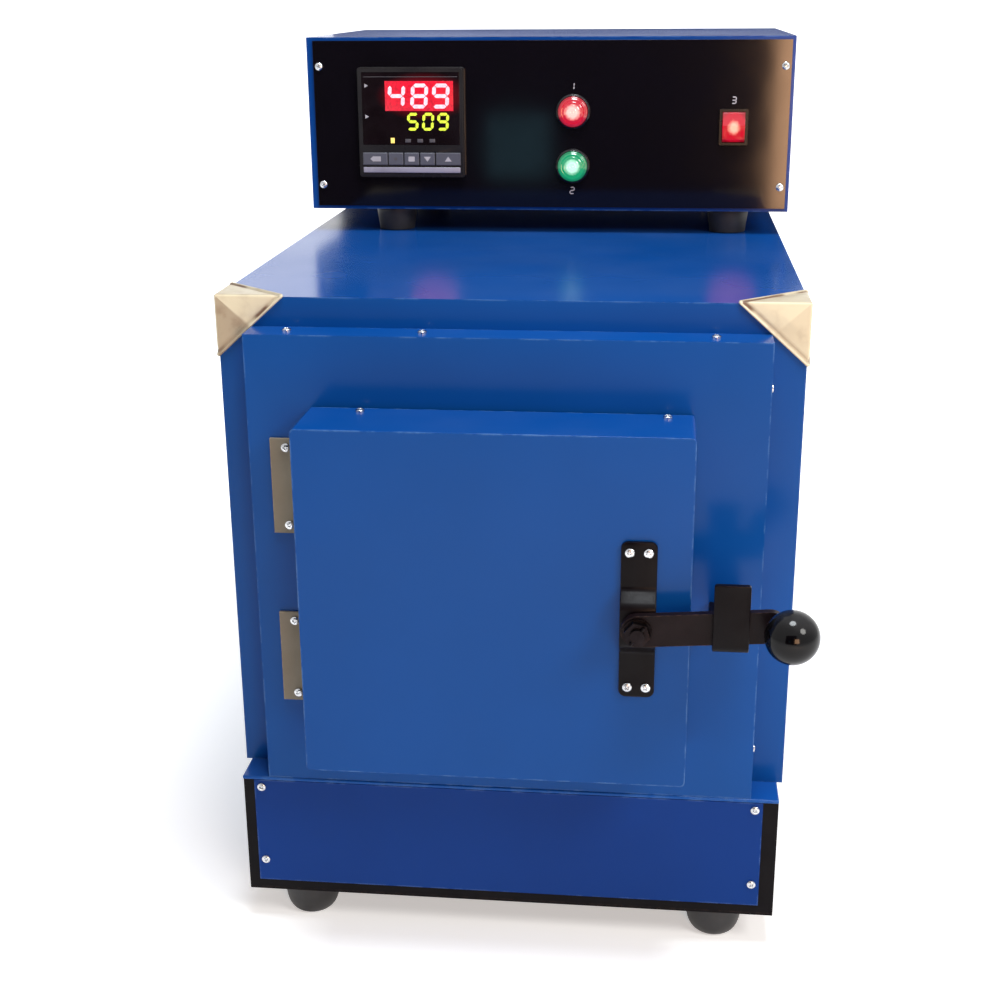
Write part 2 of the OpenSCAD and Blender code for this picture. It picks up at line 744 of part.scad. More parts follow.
// The fixed half: a flat leaf on the fascia and the two outer knuckles.
module hinge_plates() {
  back = -fascia_out;
  color([0.5, 0.46, 0.4]) for (m = hinge_mids) difference() {
    union() {
      block([leaf_l, back - leaf_t, m - hinge_h / 2],
            [axis_x - knuckle_r + 1.2, back, m + hinge_h / 2]);
      for (s = [-1, 1]) {
        lo = s > 0 ? m + third / 2 + gap_z : m - hinge_h / 2;
        hi = s > 0 ? m + hinge_h / 2 : m - third / 2 - gap_z;
        translate([axis_x, y0 + axis_y, lo]) cylinder(r = knuckle_r, h = hi - lo);
        block([axis_x - knuckle_r, back - leaf_t, lo], [axis_x, back - 0.5, hi]);
      }
    }
    block([axis_x - knuckle_r - 0.4, back - leaf_t - 1, m - third / 2 - gap_z],
          [axis_x + 9, back + 1, m + third / 2 + gap_z]);
    translate([axis_x, y0 + axis_y, m - hinge_h]) cylinder(r = hinge_pin_r + run_gap, h = 2 * hinge_h);
    for (p = leaf_holes) rod_y(p[0], p[1], hole_r, back - leaf_t - 1, back + 1);
  }
}

// Loose pins with a domed head over the top knuckle.
module hinge_pins() {
  r = hinge_pin_r;
  h = hinge_h;
  color([0.62, 0.6, 0.56]) for (m = hinge_mids) translate([axis_x, y0 + axis_y, m - h / 2])
    rotate_extrude() polygon([[0, 0.6], [r - 0.6, 0.6], [r, 1.2], [r, h + 0.1],
      [r + 1.6, h + 0.1], [r + 1.6, h + 1.2], [r + 0.6, h + 2.3], [0, h + 2.7]]);
}

// The moving half: the middle knuckle and a leaf on the door's side.
module hinge_leaves() {
  side = door_l;
  color([0.5, 0.46, 0.4]) for (m = hinge_mids) difference() {
    union() {
      translate([axis_x, y0 + axis_y, m - third / 2]) cylinder(r = knuckle_r, h = third);
      block([side - leaf_t, axis_y - door_leaf, m - third / 2], [side, axis_y, m + third / 2]);
      block([side - leaf_t, axis_y - door_leaf, m - hinge_h / 2],
            [side, axis_y - knuckle_r - 0.8, m + hinge_h / 2]);
    }
    translate([axis_x, y0 + axis_y, m - hinge_h]) cylinder(r = hinge_pin_r + run_gap, h = 2 * hinge_h);
    for (p = side_holes) rod_x(p[0], p[1], hole_r, side - 9, side + 1);
  }
}

// The door.

strap_places = [for (x = [-6.5, 6.5], z = [-1, 1])
  [latch_x + x, z_latch + z * (strap_h / 2 - 7.5)]];
rim_screws = [door_l + 40, door_l + door_w - 19.5];

// A deep pan with rounded corners, open to the rear.
module door_shell() {
  color([0.12, 0.34, 0.68]) difference() {
    sheet_y(door_mx, z_door, door_front, door_rear) round_rect(door_w, door_h, door_r);
    sheet_y(door_mx, z_door, door_front + shell_t, door_rear + 1)
      round_rect(door_w - 2 * shell_t, door_h - 2 * shell_t, door_r - shell_t);
    for (p = strap_places) rod_y(p[0], p[1], hole_r, door_front - 1, door_front + 9);
    for (p = side_holes) rod_x(p[0], p[1], hole_r, door_l - 1, door_l + 9);
    for (x = rim_screws, s = [-1, 1])
      translate([x, y0 + liner_y - liner_rim / 2, z_door + s * door_h / 2 - 5])
        cylinder(r = hole_r, h = 10);
  }
}

liner_w = door_w - 2 * shell_t - 2 * air;
liner_h = door_h - 2 * shell_t - 2 * air;
nose = throat_half - plug_gap;               // half the plug's tip
nose_root = nose + 3;

// The pan that closes the door behind, with its rim folded forwards.
module door_liner() {
  r = door_r - shell_t - air;
  hole = 2 * nose_root + 2 * air;
  color([0.62, 0.64, 0.66]) difference() {
    sheet_y(door_mx, z_door, liner_y - liner_rim, liner_y) round_rect(liner_w, liner_h, r);
    sheet_y(door_mx, z_door, liner_y - liner_rim - 1, liner_y - shell_t)
      round_rect(liner_w - 2 * shell_t, liner_h - 2 * shell_t, 1);
    block([-hole / 2, liner_y - 9, z_mid - hole / 2], [hole / 2, liner_y + 9, z_mid + hole / 2]);
    for (x = rim_screws, s = [-1, 1])
      translate([x, y0 + liner_y - liner_rim / 2, z_door + s * door_h / 2 - 8])
        cylinder(r = hole_r, h = 16);
  }
}

// The refractory block in the door; its tapered nose closes the throat.
module door_plug() {
  a = nose_root;
  b = nose;
  c = door_h / 2 - shell_t - plug_pack;
  y1 = y0 + liner_y;
  y2 = y0 - fascia_out + plug_in;
  color([0.9, 0.88, 0.82]) {
    union() {
      block([-c, door_front + shell_t, z_mid - c], [c, liner_y - shell_t, z_mid + c]);
      block([-a, liner_y - shell_t - 1, z_mid - a], [a, liner_y, z_mid + a]);
      translate([0, 0, z_mid]) polyhedron(
        points = [[-a, y1, -a], [a, y1, -a], [a, y1, a], [-a, y1, a],
          [-b, y2, -b], [b, y2, -b], [b, y2, b], [-b, y2, b]],
        faces = [[3, 2, 1, 0], [4, 5, 6, 7], [1, 5, 4, 0], [2, 6, 5, 1], [3, 7, 6, 2], [0, 4, 7, 3]]);
    }
  }
}

// The rope seal on the liner; closed, it lies just off the throat brick's face.
module door_seal() {
  a = throat_half + seal_w + 3;
  b = throat_half + 3;
  color([0.85, 0.84, 0.8]) translate([0, y0 - fascia_out - air, z_mid]) rotate([90, 0, 0])
    linear_extrude(door_gap + liner_in - air) difference() {
      round_rect(2 * a, 2 * a, 9);
      round_rect(2 * b, 2 * b, 4);
    }
}

module door_screws() {
  color([0.75, 0.76, 0.78]) {
    for (x = rim_screws) {
      translate([x, y0 + liner_y - liner_rim / 2, z_door + door_h / 2]) screw_to("up", 6.5);
      translate([x, y0 + liner_y - liner_rim / 2, z_door - door_h / 2]) mirror([0, 0, 1])
        screw_to("up", 6.5);
    }
    for (p = side_holes) translate([door_l - leaf_t, y0 + p[0], p[1]]) screw_to("left", 8);
    for (p = strap_places) screw_y(p[0], door_front - strap_t, p[1], strap_t + shell_t - 0.2);
  }
}

// The latch.

// The strap's front outline [y, z], which goes on behind the door's face and past its ends.
module strap_front() {
  f = door_front - strap_t;
  r = strap_rise;
  k = strap_flat / 2 + strap_t * 0.4;
  m = k + strap_slope;
  far = strap_h;
  bends(strap_bend + strap_t, strap_bend) polygon([[f, far], [f, m], [f - r, k], [f - r, -k],
    [f, -m], [f, -far], [f + far, -far], [f + far, far]]);
}

// A flat bar bent twice each way, so that its middle stands off the door.
module latch_strap() {
  f = door_front;
  r = strap_rise;
  t = strap_t;
  color([0.03, 0.03, 0.035]) difference() {
    intersection() {
      across(latch_x - strap_w / 2, latch_x + strap_w / 2) translate([0, z_latch]) difference() {
        strap_front();
        offset(r = -t) strap_front();
      }
      sheet_y(latch_x, z_latch, f - t - r - 1, f) round_rect(strap_w, strap_h, strap_round);
    }
    rod_y(latch_x, z_latch, pivot_r + run_gap, f - t - r - 1, f);
    for (p = strap_places) rod_y(p[0], p[1], hole_r, f - t - 1, f + 1);
  }
}

// The pivot's bolt: its head behind the strap, a shoulder ring, the bar, a washer, a nut, a pin.
module pivot_bolt() {
  hex = 2 / sqrt(3) * (washer_r - 2);        // the nut's corners stay inside the washer
  far = bar_front - 1.6 - 5;
  color([0.16, 0.15, 0.15]) {
    union() {
      translate([latch_x, y0 + plateau_y, z_latch]) rotate([-90, 30, 0])
        cylinder(r = hex, h = 5, $fn = 6);
      rod_y(latch_x, z_latch, pivot_r, far - 3, plateau_y + 1);
      rod_y(latch_x, z_latch, washer_r, bar_rear + run_gap, plateau_y - strap_t);
      rod_y(latch_x, z_latch, washer_r, bar_front - 1.6, bar_front - run_gap);
      translate([latch_x, y0 + far, z_latch]) rotate([-90, 12, 0])
        cylinder(r = hex, h = 5, $fn = 6);
      translate([latch_x, y0 + far - 1.5, z_latch]) rotate([0, 35, 0])
        translate([0, 0, -8]) cylinder(r = 1, h = 16);
    }
  }
}

// The lever at rest slopes up a little; everything on it is placed from its pivot.
module on_lever() {
  translate([latch_x, y0, z_latch]) rotate([0, -lever_tilt, 0]) children();
}

module neck_frame() {
  translate([lever_l, neck_y, 0]) rotate([90 - neck_rise, 0, 0]) rotate([0, neck_lean, 0]) children();
}

module lever_bar() {
  w = lever_w / 2;
  stud = 4;
  color([0.04, 0.035, 0.035]) on_lever() difference() {
    union() {
      translate([0, bar_rear, 0]) rotate([90, 0, 0]) linear_extrude(lever_t)
        difference() {
          union() {
            circle(r = w);
            translate([0, -w]) square([lever_l - 3, 2 * w]);
            translate([lever_l - 3, 0]) circle(r = w);
          }
          circle(r = pivot_r + run_gap);
        }
      translate([lever_l, bar_front + 1, 0]) rotate([90, 0, 0])
        cylinder(r = 5, h = bar_front + 1 - neck_y + 1);
      neck_frame() {
        rotate_extrude() polygon([[0, -1], [7, -1], [11, 3.5], [10, neck_l],
          [stud, neck_l], [stud, neck_l + 12], [0, neck_l + 12]]);
      }
    }
  }
}

// A ball with a flat where it seats on the neck, and a blind bore for the stud.
module ball_knob() {
  stud = 4 + 0.05;
  color([0.02, 0.02, 0.022]) on_lever() neck_frame()
    translate([0, 0, neck_l + ball_flat]) difference() {
      sphere(r = ball_r);
      translate([-ball_d, -ball_d, -ball_d - ball_flat]) cube([2 * ball_d, 2 * ball_d, ball_d]);
      translate([0, 0, -ball_d]) cylinder(r = stud, h = ball_d - ball_flat + 12.3);
    }
}

keeper_holes = [for (s = [-1, 1])
  [keeper_x + keeper_w / 2 + s * (keeper_w / 2 - 6), floor_z - keeper_t - keeper_foot + 7]];

// What lies behind the keeper's lip, over its arm and behind its foot, as an outline [y, z].
module keeper_back() {
  far = keeper_h + keeper_foot + fascia_out + door_t;
  bends(keeper_bend, keeper_bend + keeper_t) union() {
    translate([lip_y, floor_z]) square([2 * far, far]);
    translate([-fascia_out, floor_z - far]) square([far, 2 * far]);
  }
}

// A bent flat bar: a foot on the fascia, an arm forwards, and a lip that stands before the lever.
module keeper() {
  t = keeper_t;
  f = -fascia_out;
  low = floor_z - t - keeper_foot;
  color([0.03, 0.03, 0.035]) difference() {
    across(keeper_x, keeper_x + keeper_w) intersection() {
      difference() {
        offset(r = t) keeper_back();
        keeper_back();
      }
      translate([lip_y - t, low]) square([f - lip_y + t, floor_z + keeper_h - low]);
    }
    for (p = keeper_holes) rod_y(p[0], p[1], hole_r, f - t - 1, f + 1);
  }
}

// The control box and what is in it.

panel_l = box_l + panel_left;
panel_r = box_r - panel_right;
panel_lo = z_box + panel_edge;
panel_hi = z_box + box_h - panel_edge;
panel_holes = [for (x = [panel_l + 5.2, panel_r - 5.2], z = [panel_lo + 19, panel_hi - 22]) [x, z]];
box_feet = [for (x = [box_l + box_foot_left, box_r - box_foot_right],
                 y = [box_y + box_foot_y, box_rear - box_foot_y]) [x, y]];
grommets = [for (i = [0, 1]) [box_l + cord_in + i * cord_step, z_box + cord_up]];
sink_w = 100;
sink_d = 38;
sink_h = 84;
sink_x = box_r - 61 - sink_w / 2;            // the heat sink's middle, before the rear slots
fin_t = 2.4;
relay_w = 58;
relay_d = 24;
relay_h = 45;

module control_case() {
  t = box_t;
  color([0.1, 0.28, 0.6]) difference() {
    block([box_l, box_y, z_box], [box_r, box_rear, z_box + box_h]);
    block([box_l + t, box_y + t, z_box + t], [box_r - t, box_rear - t, z_box + box_h - t]);
    block([box_l + 13, box_y - 1, z_box + 13], [box_r - 13, box_y + t + 1, z_box + box_h - 13]);
    for (p = panel_holes) rod_y(p[0], p[1], hole_r, box_y - 1, box_y + t + 1);
    for (p = grommets) rod_y(p[0], p[1], 8.2, box_rear - 9, box_rear + 1);
    for (i = [0:5]) block([sink_x - 65, box_rear - 9, z_box + 40 + i * 13],
                          [sink_x + 65, box_rear + 1, z_box + 44 + i * 13]);
    for (p = box_feet) translate([p[0], y0 + p[1], z_box - 1]) cylinder(r = 2.7, h = t + 2);
  }
}

module control_panel() {
  a = box_back;
  b = box_y;
  color([0.02, 0.02, 0.03]) difference() {
    block([panel_l, a, panel_lo], [panel_r, b, panel_hi]);
    block([pid_mx - case_half - air, a - 1, pid_mz - case_half - air],
          [pid_mx + case_half + air, b + 1, pid_mz + case_half + air]);
    for (s = [-1, 1]) rod_y(lamp_mx, lamp_mz + s * lamp_step / 2, barrel_r + 0.1, a - 1, b + 1);
    block([switch_mx - body_w / 2 - 0.2, a - 1, switch_mz - body_h / 2 - 0.2],
          [switch_mx + body_w / 2 + 0.2, b + 1, switch_mz + body_h / 2 + 0.2]);
    for (p = panel_holes) rod_y(p[0], p[1], hole_r, a - 1, b + 1);
  }
}

module panel_screws() {
  color([0.8, 0.81, 0.83]) for (p = panel_holes) screw_y(p[0], box_back, p[1], 7);
}

// Round feet; each has a stud that goes up through the box's bottom.
module control_feet() {
  a = box_foot_d / 2;
  h = box_foot_h;
  color([0.02, 0.02, 0.02]) for (p = box_feet) translate([p[0], y0 + p[1], z_top])
    rotate_extrude() polygon([[0, 2], [5, 2], [5, 0], [a - 3, 0], [a - 1.6, 1], [a, h - 3],
      [a - 0.8, h], [2.5, h], [2.5, h + 6], [0, h + 6]]);
}

// The controller: a square bezel before the panel and its case behind.
module controller_body() {
  f = pid_face;
  color([0.13, 0.13, 0.14]) difference() {
    union() {
      sheet_y(pid_mx, pid_mz, f + 1.5, box_back) round_rect(pid, pid, 2.5);
      sheet_y(pid_mx, pid_mz, f, f + 1.6) round_rect(pid - 2.4, pid - 2.4, 1.6);
      block([pid_mx - case_half, box_back - 1, pid_mz - case_half],
            [pid_mx + case_half, box_back + pid_case, pid_mz + case_half]);
      sheet_y(pid_mx, pid_mz - pid_half + 4 + 2.75, f - 0.8, f + 1)
        round_rect(pid - 7, 5.5, 0.8);
    }
    block([pid_mx - win_w / 2, f - 1, win_z - win_h / 2],
          [pid_mx + win_w / 2, f + win_t, win_z + win_h / 2]);
    for (i = [0:4]) block([pid_mx + key_x[i] - key_w[i] / 2 + key_gap, f - 1, key_z - key_h / 2],
      [pid_mx + key_x[i] + key_w[i] / 2 - key_gap, f + key_body + key_travel + 0.2, key_z + key_h / 2]);
  }
}

module controller_window() {
  color([0.03, 0.01, 0.015]) block(
    [pid_mx - win_w / 2 + 0.15, pid_face + 0.2, win_z - win_h / 2 + 0.15],
    [pid_mx + win_w / 2 - 0.15, pid_face + win_t, win_z + win_h / 2 - 0.15]);
}

// A key with its edges rounded on the front; the pocket leaves it a little play.
module key(i) {
  w = key_w[i] - 4 * key_gap;
  h = key_h - 2 * key_gap;
  f = pid_face;
  color([0.3, 0.32, 0.36]) translate([pid_mx + key_x[i], 0, key_z]) {
    translate([0, y0 + f + key_body, 0]) rotate([90, 0, 0]) union() {
      linear_extrude(key_body + key_out - 0.5) round_rect(w, h, 0.6);
      linear_extrude(key_body + key_out) round_rect(w - 1, h - 1, 0.5);
    }
  }
}

module key_1() { key(0); }
module key_2() { key(1); }
module key_3() { key(2); }
module key_4() { key(3); }
module key_5() { key(4); }

// A pilot lamp's bezel and barrel, turned in one piece.
module lamp_bezels() {
  a = lens_r + 0.15;
  b = barrel_r;
  color([0.06, 0.06, 0.07]) for (s = [-1, 1])
    turned_y(lamp_mx, box_back, lamp_mz + s * lamp_step / 2)
      polygon([[0, -lamp_l], [b, -lamp_l], [b, 0], [lamp_r, 0], [lamp_r, 2.2], [lamp_r - 0.5, 3.1],
        [a + 0.5, 3.6], [a, 3.3], [a, 0.3], [0, 0.3]]);
}

module lens(s) {
  r = lens_r;
  turned_y(lamp_mx, box_back - 0.3, lamp_mz + s * lamp_step / 2)
    polygon(concat([[0, 0], [r, 0]],
      [for (t = [0:15:75]) [r * cos(t), 3.4 + 3.6 * sin(t)]], [[0, 7]]));
}

module lens_red() { color([0.85, 0.08, 0.1]) lens(1); }
module lens_green() { color([0.1, 0.75, 0.45]) lens(-1); }

// The switch: a frame before the panel and a body behind it, open at the front.
module switch_frame() {
  a = box_back;
  iw = body_w - 2 * wall;
  ih = body_h - 2 * wall;
  color([0.04, 0.04, 0.045]) difference() {
    union() {
      sheet_y(switch_mx, switch_mz, a - 2, a) round_rect(switch_w, switch_h, 1.5);
      block([switch_mx - body_w / 2, a - 1, switch_mz - body_h / 2],
            [switch_mx + body_w / 2, a + 22, switch_mz + body_h / 2]);
    }
    block([switch_mx - iw / 2, a - 9, switch_mz - ih / 2],
          [switch_mx + iw / 2, a + 16, switch_mz + ih / 2]);
    rod_x(rocker_y, switch_mz, 1.2 + run_gap, switch_mx - body_w / 2 - 1, switch_mx + body_w / 2 + 1);
  }
}

// The rocker, pressed at its top: two flat faces that meet over its axis.
module switch_rocker() {
  r = rocker_r;
  face = 8.5;
  color([0.85, 0.06, 0.08]) {
    union() {
      translate([switch_mx - rocker_w / 2, y0 + rocker_y, switch_mz]) rotate([-rocker_tilt, 0, 0])
        rotate([90, 0, 90]) linear_extrude(rocker_w) intersection() {
          circle(r = r);
          polygon([[-face, 0], [-face + 3.2, r + 1], [7, r + 1], [7, -r - 1], [-face + 3.2, -r - 1]]);
        }
      rod_x(rocker_y, switch_mz, 1.2, switch_mx - body_w / 2 + 0.2, switch_mx + body_w / 2 - 0.2);
    }
  }
}

// Blind rubber grommets, closed until a cable is put through.
module grommet(x, z, y, t) {
  translate([x, y0 + y, z]) rotate([-90, 0, 0]) rotate_extrude()
    polygon([[0, 1.2], [4, 1.2], [5.5, grommet_out - 1], [7, grommet_out], [9.5, grommet_out - 1.5],
      [11, 2.5], [11, 0], [8, 0], [8, -t], [10, -t], [10, -t - 2], [7, -t - 3], [5, -t], [4, 0], [0, 0]]);
}

module cable_grommets() {
  color([0.03, 0.03, 0.03]) {
    for (p = grommets) grommet(p[0], p[1], box_rear, box_t);
    grommet(supply_x, z_cab + supply_up, cab_d, sheet_t);
  }
}

// The solid-state relay that switches the coils, on its finned heat sink before the rear slots.
module power_relay() {
  step = (sink_w - fin_t) / 8;
  groove_h = relay_h / 4;
  color([0.62, 0.63, 0.65]) translate([sink_x, y0 + box_rear - relay_d - sink_d, z_box + box_t]) {
    linear_extrude(sink_h) union() {
      translate([-sink_w / 2, 0]) square([sink_w, 6]);
      for (i = [0:8]) translate([-sink_w / 2 + i * step, 5]) square([fin_t, sink_d - 5]);
    }
    translate([-relay_w / 2, -relay_d, (sink_h - relay_h) / 2]) difference() {
      cube([relay_w, relay_d, relay_h]);
      for (a = [-1, relay_h - groove_h]) translate([-1, -1, a])
        cube([relay_w + 2, relay_d / 3, groove_h + 1]);
    }
  }
}

base_frame();
base_skirt();
base_bottom();
base_front_plate();
base_screws();
furnace_feet();
floor_pan();
cabinet_wrap();
rear_bulkhead();
rear_cover();
front_fascia();
cabinet_screws();
corner_guard_left();
corner_guard_right();
throat_brick();
hearth_slab();
muffle_roof();
muffle_side_left();
muffle_side_right();
muffle_back();
heating_coils_left();
heating_coils_right();
insulation_floor();
insulation_roof();
insulation_sides();
insulation_rear();
coil_beads();
thermocouple();
thermocouple_head();
hinge_plates();
hinge_pins();
keeper();
control_case();
control_panel();
panel_screws();
control_feet();
controller_body();
controller_window();
lamp_bezels();
lens_red();
lens_green();
switch_frame();
cable_grommets();
power_relay();
key_1();
key_2();
key_3();
key_4();
key_5();
switch_rocker();
door_shell();
door_liner();
door_plug();
door_seal();
door_screws();
hinge_leaves();
latch_strap();
pivot_bolt();
lever_bar();
ball_knob();
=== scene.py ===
"""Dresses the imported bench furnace: finer surfaces, finishes, lights and the camera."""

import json
import logging
import math
from dataclasses import dataclass, field
from enum import Enum
from typing import Any, Iterable, Sequence

import bmesh
import bpy
import numpy as np
from mathutils import Matrix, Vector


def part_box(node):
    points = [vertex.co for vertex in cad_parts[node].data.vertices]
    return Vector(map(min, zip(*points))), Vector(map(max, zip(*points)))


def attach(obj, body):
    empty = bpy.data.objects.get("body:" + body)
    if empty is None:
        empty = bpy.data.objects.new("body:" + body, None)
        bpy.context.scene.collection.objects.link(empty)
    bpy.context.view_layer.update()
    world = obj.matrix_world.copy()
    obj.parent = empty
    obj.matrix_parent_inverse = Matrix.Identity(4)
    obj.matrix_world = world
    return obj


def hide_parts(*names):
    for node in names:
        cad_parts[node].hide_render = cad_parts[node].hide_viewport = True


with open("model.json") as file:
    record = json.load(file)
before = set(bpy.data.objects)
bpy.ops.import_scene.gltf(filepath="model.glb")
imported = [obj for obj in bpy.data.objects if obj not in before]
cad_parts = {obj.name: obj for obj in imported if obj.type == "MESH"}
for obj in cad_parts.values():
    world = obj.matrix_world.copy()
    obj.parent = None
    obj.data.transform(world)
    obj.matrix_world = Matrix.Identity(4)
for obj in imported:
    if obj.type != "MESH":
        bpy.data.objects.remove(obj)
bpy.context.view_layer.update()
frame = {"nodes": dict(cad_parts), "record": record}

Array = np.ndarray
MM = 0.001
FULL_TURN = 2 * math.pi
log = logging.getLogger("furnace")

# For eased copies: points this near are one; an edge this near lies on a face of its node's box,
# or by it; a fold this small is flat, and one above the last angle is sharp.
WELD = 0.002 * MM
ON_WALL = 0.02 * MM
NEAR_WALL = 8 * MM
FLAT_FOLD = math.radians(0.4)
SHARP_FOLD = math.radians(28)


# Surfaces as whole arrays.


@dataclass
class Surface:
    """Points in metres and the faces between them."""

    points: Array
    faces: list[tuple[int, ...]]

    def moved(self, offset: Sequence[float]) -> "Surface":
        """The same surface, shifted by an offset."""
        return Surface(self.points + np.asarray(offset, float), self.faces)

    def turned_by(self, matrix: Array) -> "Surface":
        """The same surface with each point multiplied by a 3 by 3 matrix."""
        return Surface(self.points @ np.asarray(matrix, float).T, self.faces)


def joined(parts: Iterable[Surface]) -> Surface:
    """Puts several surfaces into one.

    Args:
        parts: the surfaces to join.

    Returns:
        One surface whose faces keep pointing at their own points.
    """
    points: list[Array] = []
    faces: list[tuple[int, ...]] = []
    count = 0
    for part in parts:
        points.append(part.points)
        faces += [tuple(int(i) + count for i in face) for face in part.faces]
        count += len(part.points)
    return Surface(np.concatenate(points), faces)


def grid_surface(points: Array, wrap_rows: bool = False, wrap_columns: bool = False,
                 capped: bool = False) -> Surface:
    """Faces between the points of a grid.

    Args:
        points: an array of rows by columns by 3.
        wrap_rows: the last row meets the first.
        wrap_columns: the last column meets the first.
        capped: the first and the last row are each closed by one face.

    Returns:
        The surface of four-sided faces, with its caps.
    """
    rows, columns = points.shape[:2]
    i = np.arange(rows if wrap_rows else rows - 1)
    j = np.arange(columns if wrap_columns else columns - 1)
    a, b = (m.ravel() for m in np.meshgrid(i, j, indexing="ij"))
    c, d = (a + 1) % rows, (b + 1) % columns
    quads = np.stack([a * columns + b, c * columns + b, c * columns + d, a * columns + d], -1)
    faces = [tuple(q) for q in quads.tolist()]
    if capped:
        faces.append(tuple(range(columns)))
        faces.append(tuple((rows - 1) * columns + k for k in reversed(range(columns))))
    return Surface(points.reshape(-1, 3), faces)


def across_axes(axis: Sequence[float]) -> tuple[Array, Array, Array]:
    """Two unit vectors square to an axis, and the unit axis itself."""
    along = np.asarray(axis, float)
    along = along / np.linalg.norm(along)
    other = np.array([0.0, 0.0, 1.0]) if abs(along[2]) < 0.9 else np.array([1.0, 0.0, 0.0])
    first = np.cross(other, along)
    first /= np.linalg.norm(first)
    return first, np.cross(along, first), along


def softened(points: Array, reach: float, steps: int = 4) -> Array:
    """Rounds the corners of a line of points.

    Each corner P gives way to the parabola (1-t)^2 A + 2 t (1-t) P + t^2 B, where A and B lie
    `reach` before and after it, but never past the middle of its sides.

    Args:
        points: the line's points, n by 2 or n by 3.
        reach: the distance from a corner to where its rounding starts.
        steps: points on each rounding.

    Returns:
        The rounded line's points, its two ends unchanged.
    """
    before, after = np.roll(points, 1, 0) - points, np.roll(points, -1, 0) - points
    len_a = np.maximum(np.linalg.norm(before, axis=1, keepdims=True), 1e-12)
    len_b = np.maximum(np.linalg.norm(after, axis=1, keepdims=True), 1e-12)
    start = points + before / len_a * np.minimum(reach, 0.48 * len_a)
    end = points + after / len_b * np.minimum(reach, 0.48 * len_b)
    t = np.linspace(0, 1, steps)[None, :, None]
    arcs = (1 - t) ** 2 * start[:, None] + 2 * t * (1 - t) * points[:, None] + t * t * end[:, None]
    return np.concatenate([points[:1], arcs[1:-1].reshape(-1, points.shape[1]), points[-1:]])


def rounded_outline(width: float, height: float, radius: float, steps: int = 4) -> Array:
    """A rectangle with quarter-circle corners: corner centre + radius (cos a, sin a).

    Args:
        width: the whole width.
        height: the whole height.
        radius: the corners' radius.
        steps: faces on each corner.

    Returns:
        The closed outline's points, n by 2, anticlockwise.
    """
    quarter = np.repeat(np.arange(4), steps + 1)
    angle = np.tile(np.linspace(0, math.pi / 2, steps + 1), 4) + quarter * math.pi / 2
    right = np.where((quarter == 0) | (quarter == 3), 1, -1)
    upper = np.where(quarter < 2, 1, -1)
    return np.stack([right * (width / 2 - radius) + radius * np.cos(angle),
                     upper * (height / 2 - radius) + radius * np.sin(angle)], -1)


def rounded_box(low: Sequence[float], high: Sequence[float], radius: float,
                steps: int = 3) -> Surface:
    """A box with all its edges rounded.

    A stack of rounded rectangles: at angle t from -90 to 90 degrees the corner radius is
    r cos t, and the height moves by r sin t from the flat part's end.

    Args:
        low: the lowest corner.
        high: the highest corner.
        radius: the radius of every edge.
        steps: faces on each quarter turn.

    Returns:
        The closed surface.
    """
    low, high = np.asarray(low, float), np.asarray(high, float)
    size, middle = high - low, (high + low) / 2
    radius = min(radius, 0.49 * size.min())
    quarter = np.linspace(0, math.pi / 2, steps + 1)
    tilt = np.concatenate([quarter - math.pi / 2, quarter])
    level = np.repeat([-1, 1], steps + 1) * (size[2] / 2 - radius) + radius * np.sin(tilt)
    ring = rounded_outline(2 * radius, 2 * radius, radius, steps)
    side = np.sign(rounded_outline(2, 2, 0.5, steps))
    corner = side * (size[:2] / 2 - radius)
    flat = corner[None] + ring[None] * np.cos(tilt)[:, None, None]
    points = np.concatenate([flat, np.repeat(level[:, None, None], len(ring), 1)], 2)
    return grid_surface(points + middle, wrap_columns=True, capped=True)


def lathed(profile: Array, centre: Sequence[float], axis: Sequence[float],
           steps: int = 48) -> Surface:
    """Turns a profile about an axis.

    Point = centre + height * axis + radius * (cos a * e1 + sin a * e2).

    Args:
        profile: [radius, height] pairs, n by 2; it starts and ends on the axis where it is closed.
        centre: the point at height 0.
        axis: the direction of growing height.
        steps: faces round the axis.

    Returns:
        The turned surface.
    """
    first, second, along = across_axes(axis)
    angle = np.linspace(0, FULL_TURN, steps, endpoint=False)
    ring = np.cos(angle)[:, None] * first + np.sin(angle)[:, None] * second
    points = profile[:, None, :1] * ring[None] + profile[:, None, 1:] * along + np.asarray(centre)
    return grid_surface(points, wrap_columns=True)


def swept(path: Array, section: Array, side: Array, closed: bool = False) -> Surface:
    """Carries a closed section along a path.

    Point = path + section x * side + section y * (side x tangent).

    Args:
        path: the path's points, n by 3.
        section: the closed section's points, m by 2, or n by m by 2 where it changes.
        side: a unit vector, or one for each path point, that the section's x runs along.
        closed: the path's end meets its start.

    Returns:
        The surface, capped where the path is open.
    """
    if closed:
        tangent = np.roll(path, -1, 0) - np.roll(path, 1, 0)
    else:
        tangent = np.gradient(path, axis=0)
    tangent /= np.linalg.norm(tangent, axis=1, keepdims=True)
    side = np.broadcast_to(np.asarray(side, float), path.shape)
    side = side - (side * tangent).sum(1, keepdims=True) * tangent
    side = side / np.linalg.norm(side, axis=1, keepdims=True)
    up = np.cross(side, tangent)
    shape = section if section.ndim == 3 else np.broadcast_to(section, (len(path), *section.shape))
    points = path[:, None] + shape[..., :1] * side[:, None] + shape[..., 1:] * up[:, None]
    return grid_surface(points, wrap_rows=closed, wrap_columns=True, capped=not closed)


def prism(outline: Array, front: float, back: float) -> Surface:
    """An [x, z] outline pushed along y from front to back."""
    x, z = outline[:, 0], outline[:, 1]
    rows = np.stack([np.stack([x, np.full_like(x, y), z], -1) for y in (front, back)])
    return grid_surface(rows, wrap_columns=True, capped=True)


def lengths(line: Array) -> Array:
    """How far along a line of points each of them lies, from 0."""
    return np.concatenate([[0], np.cumsum(np.linalg.norm(np.diff(line, axis=0), axis=1))])


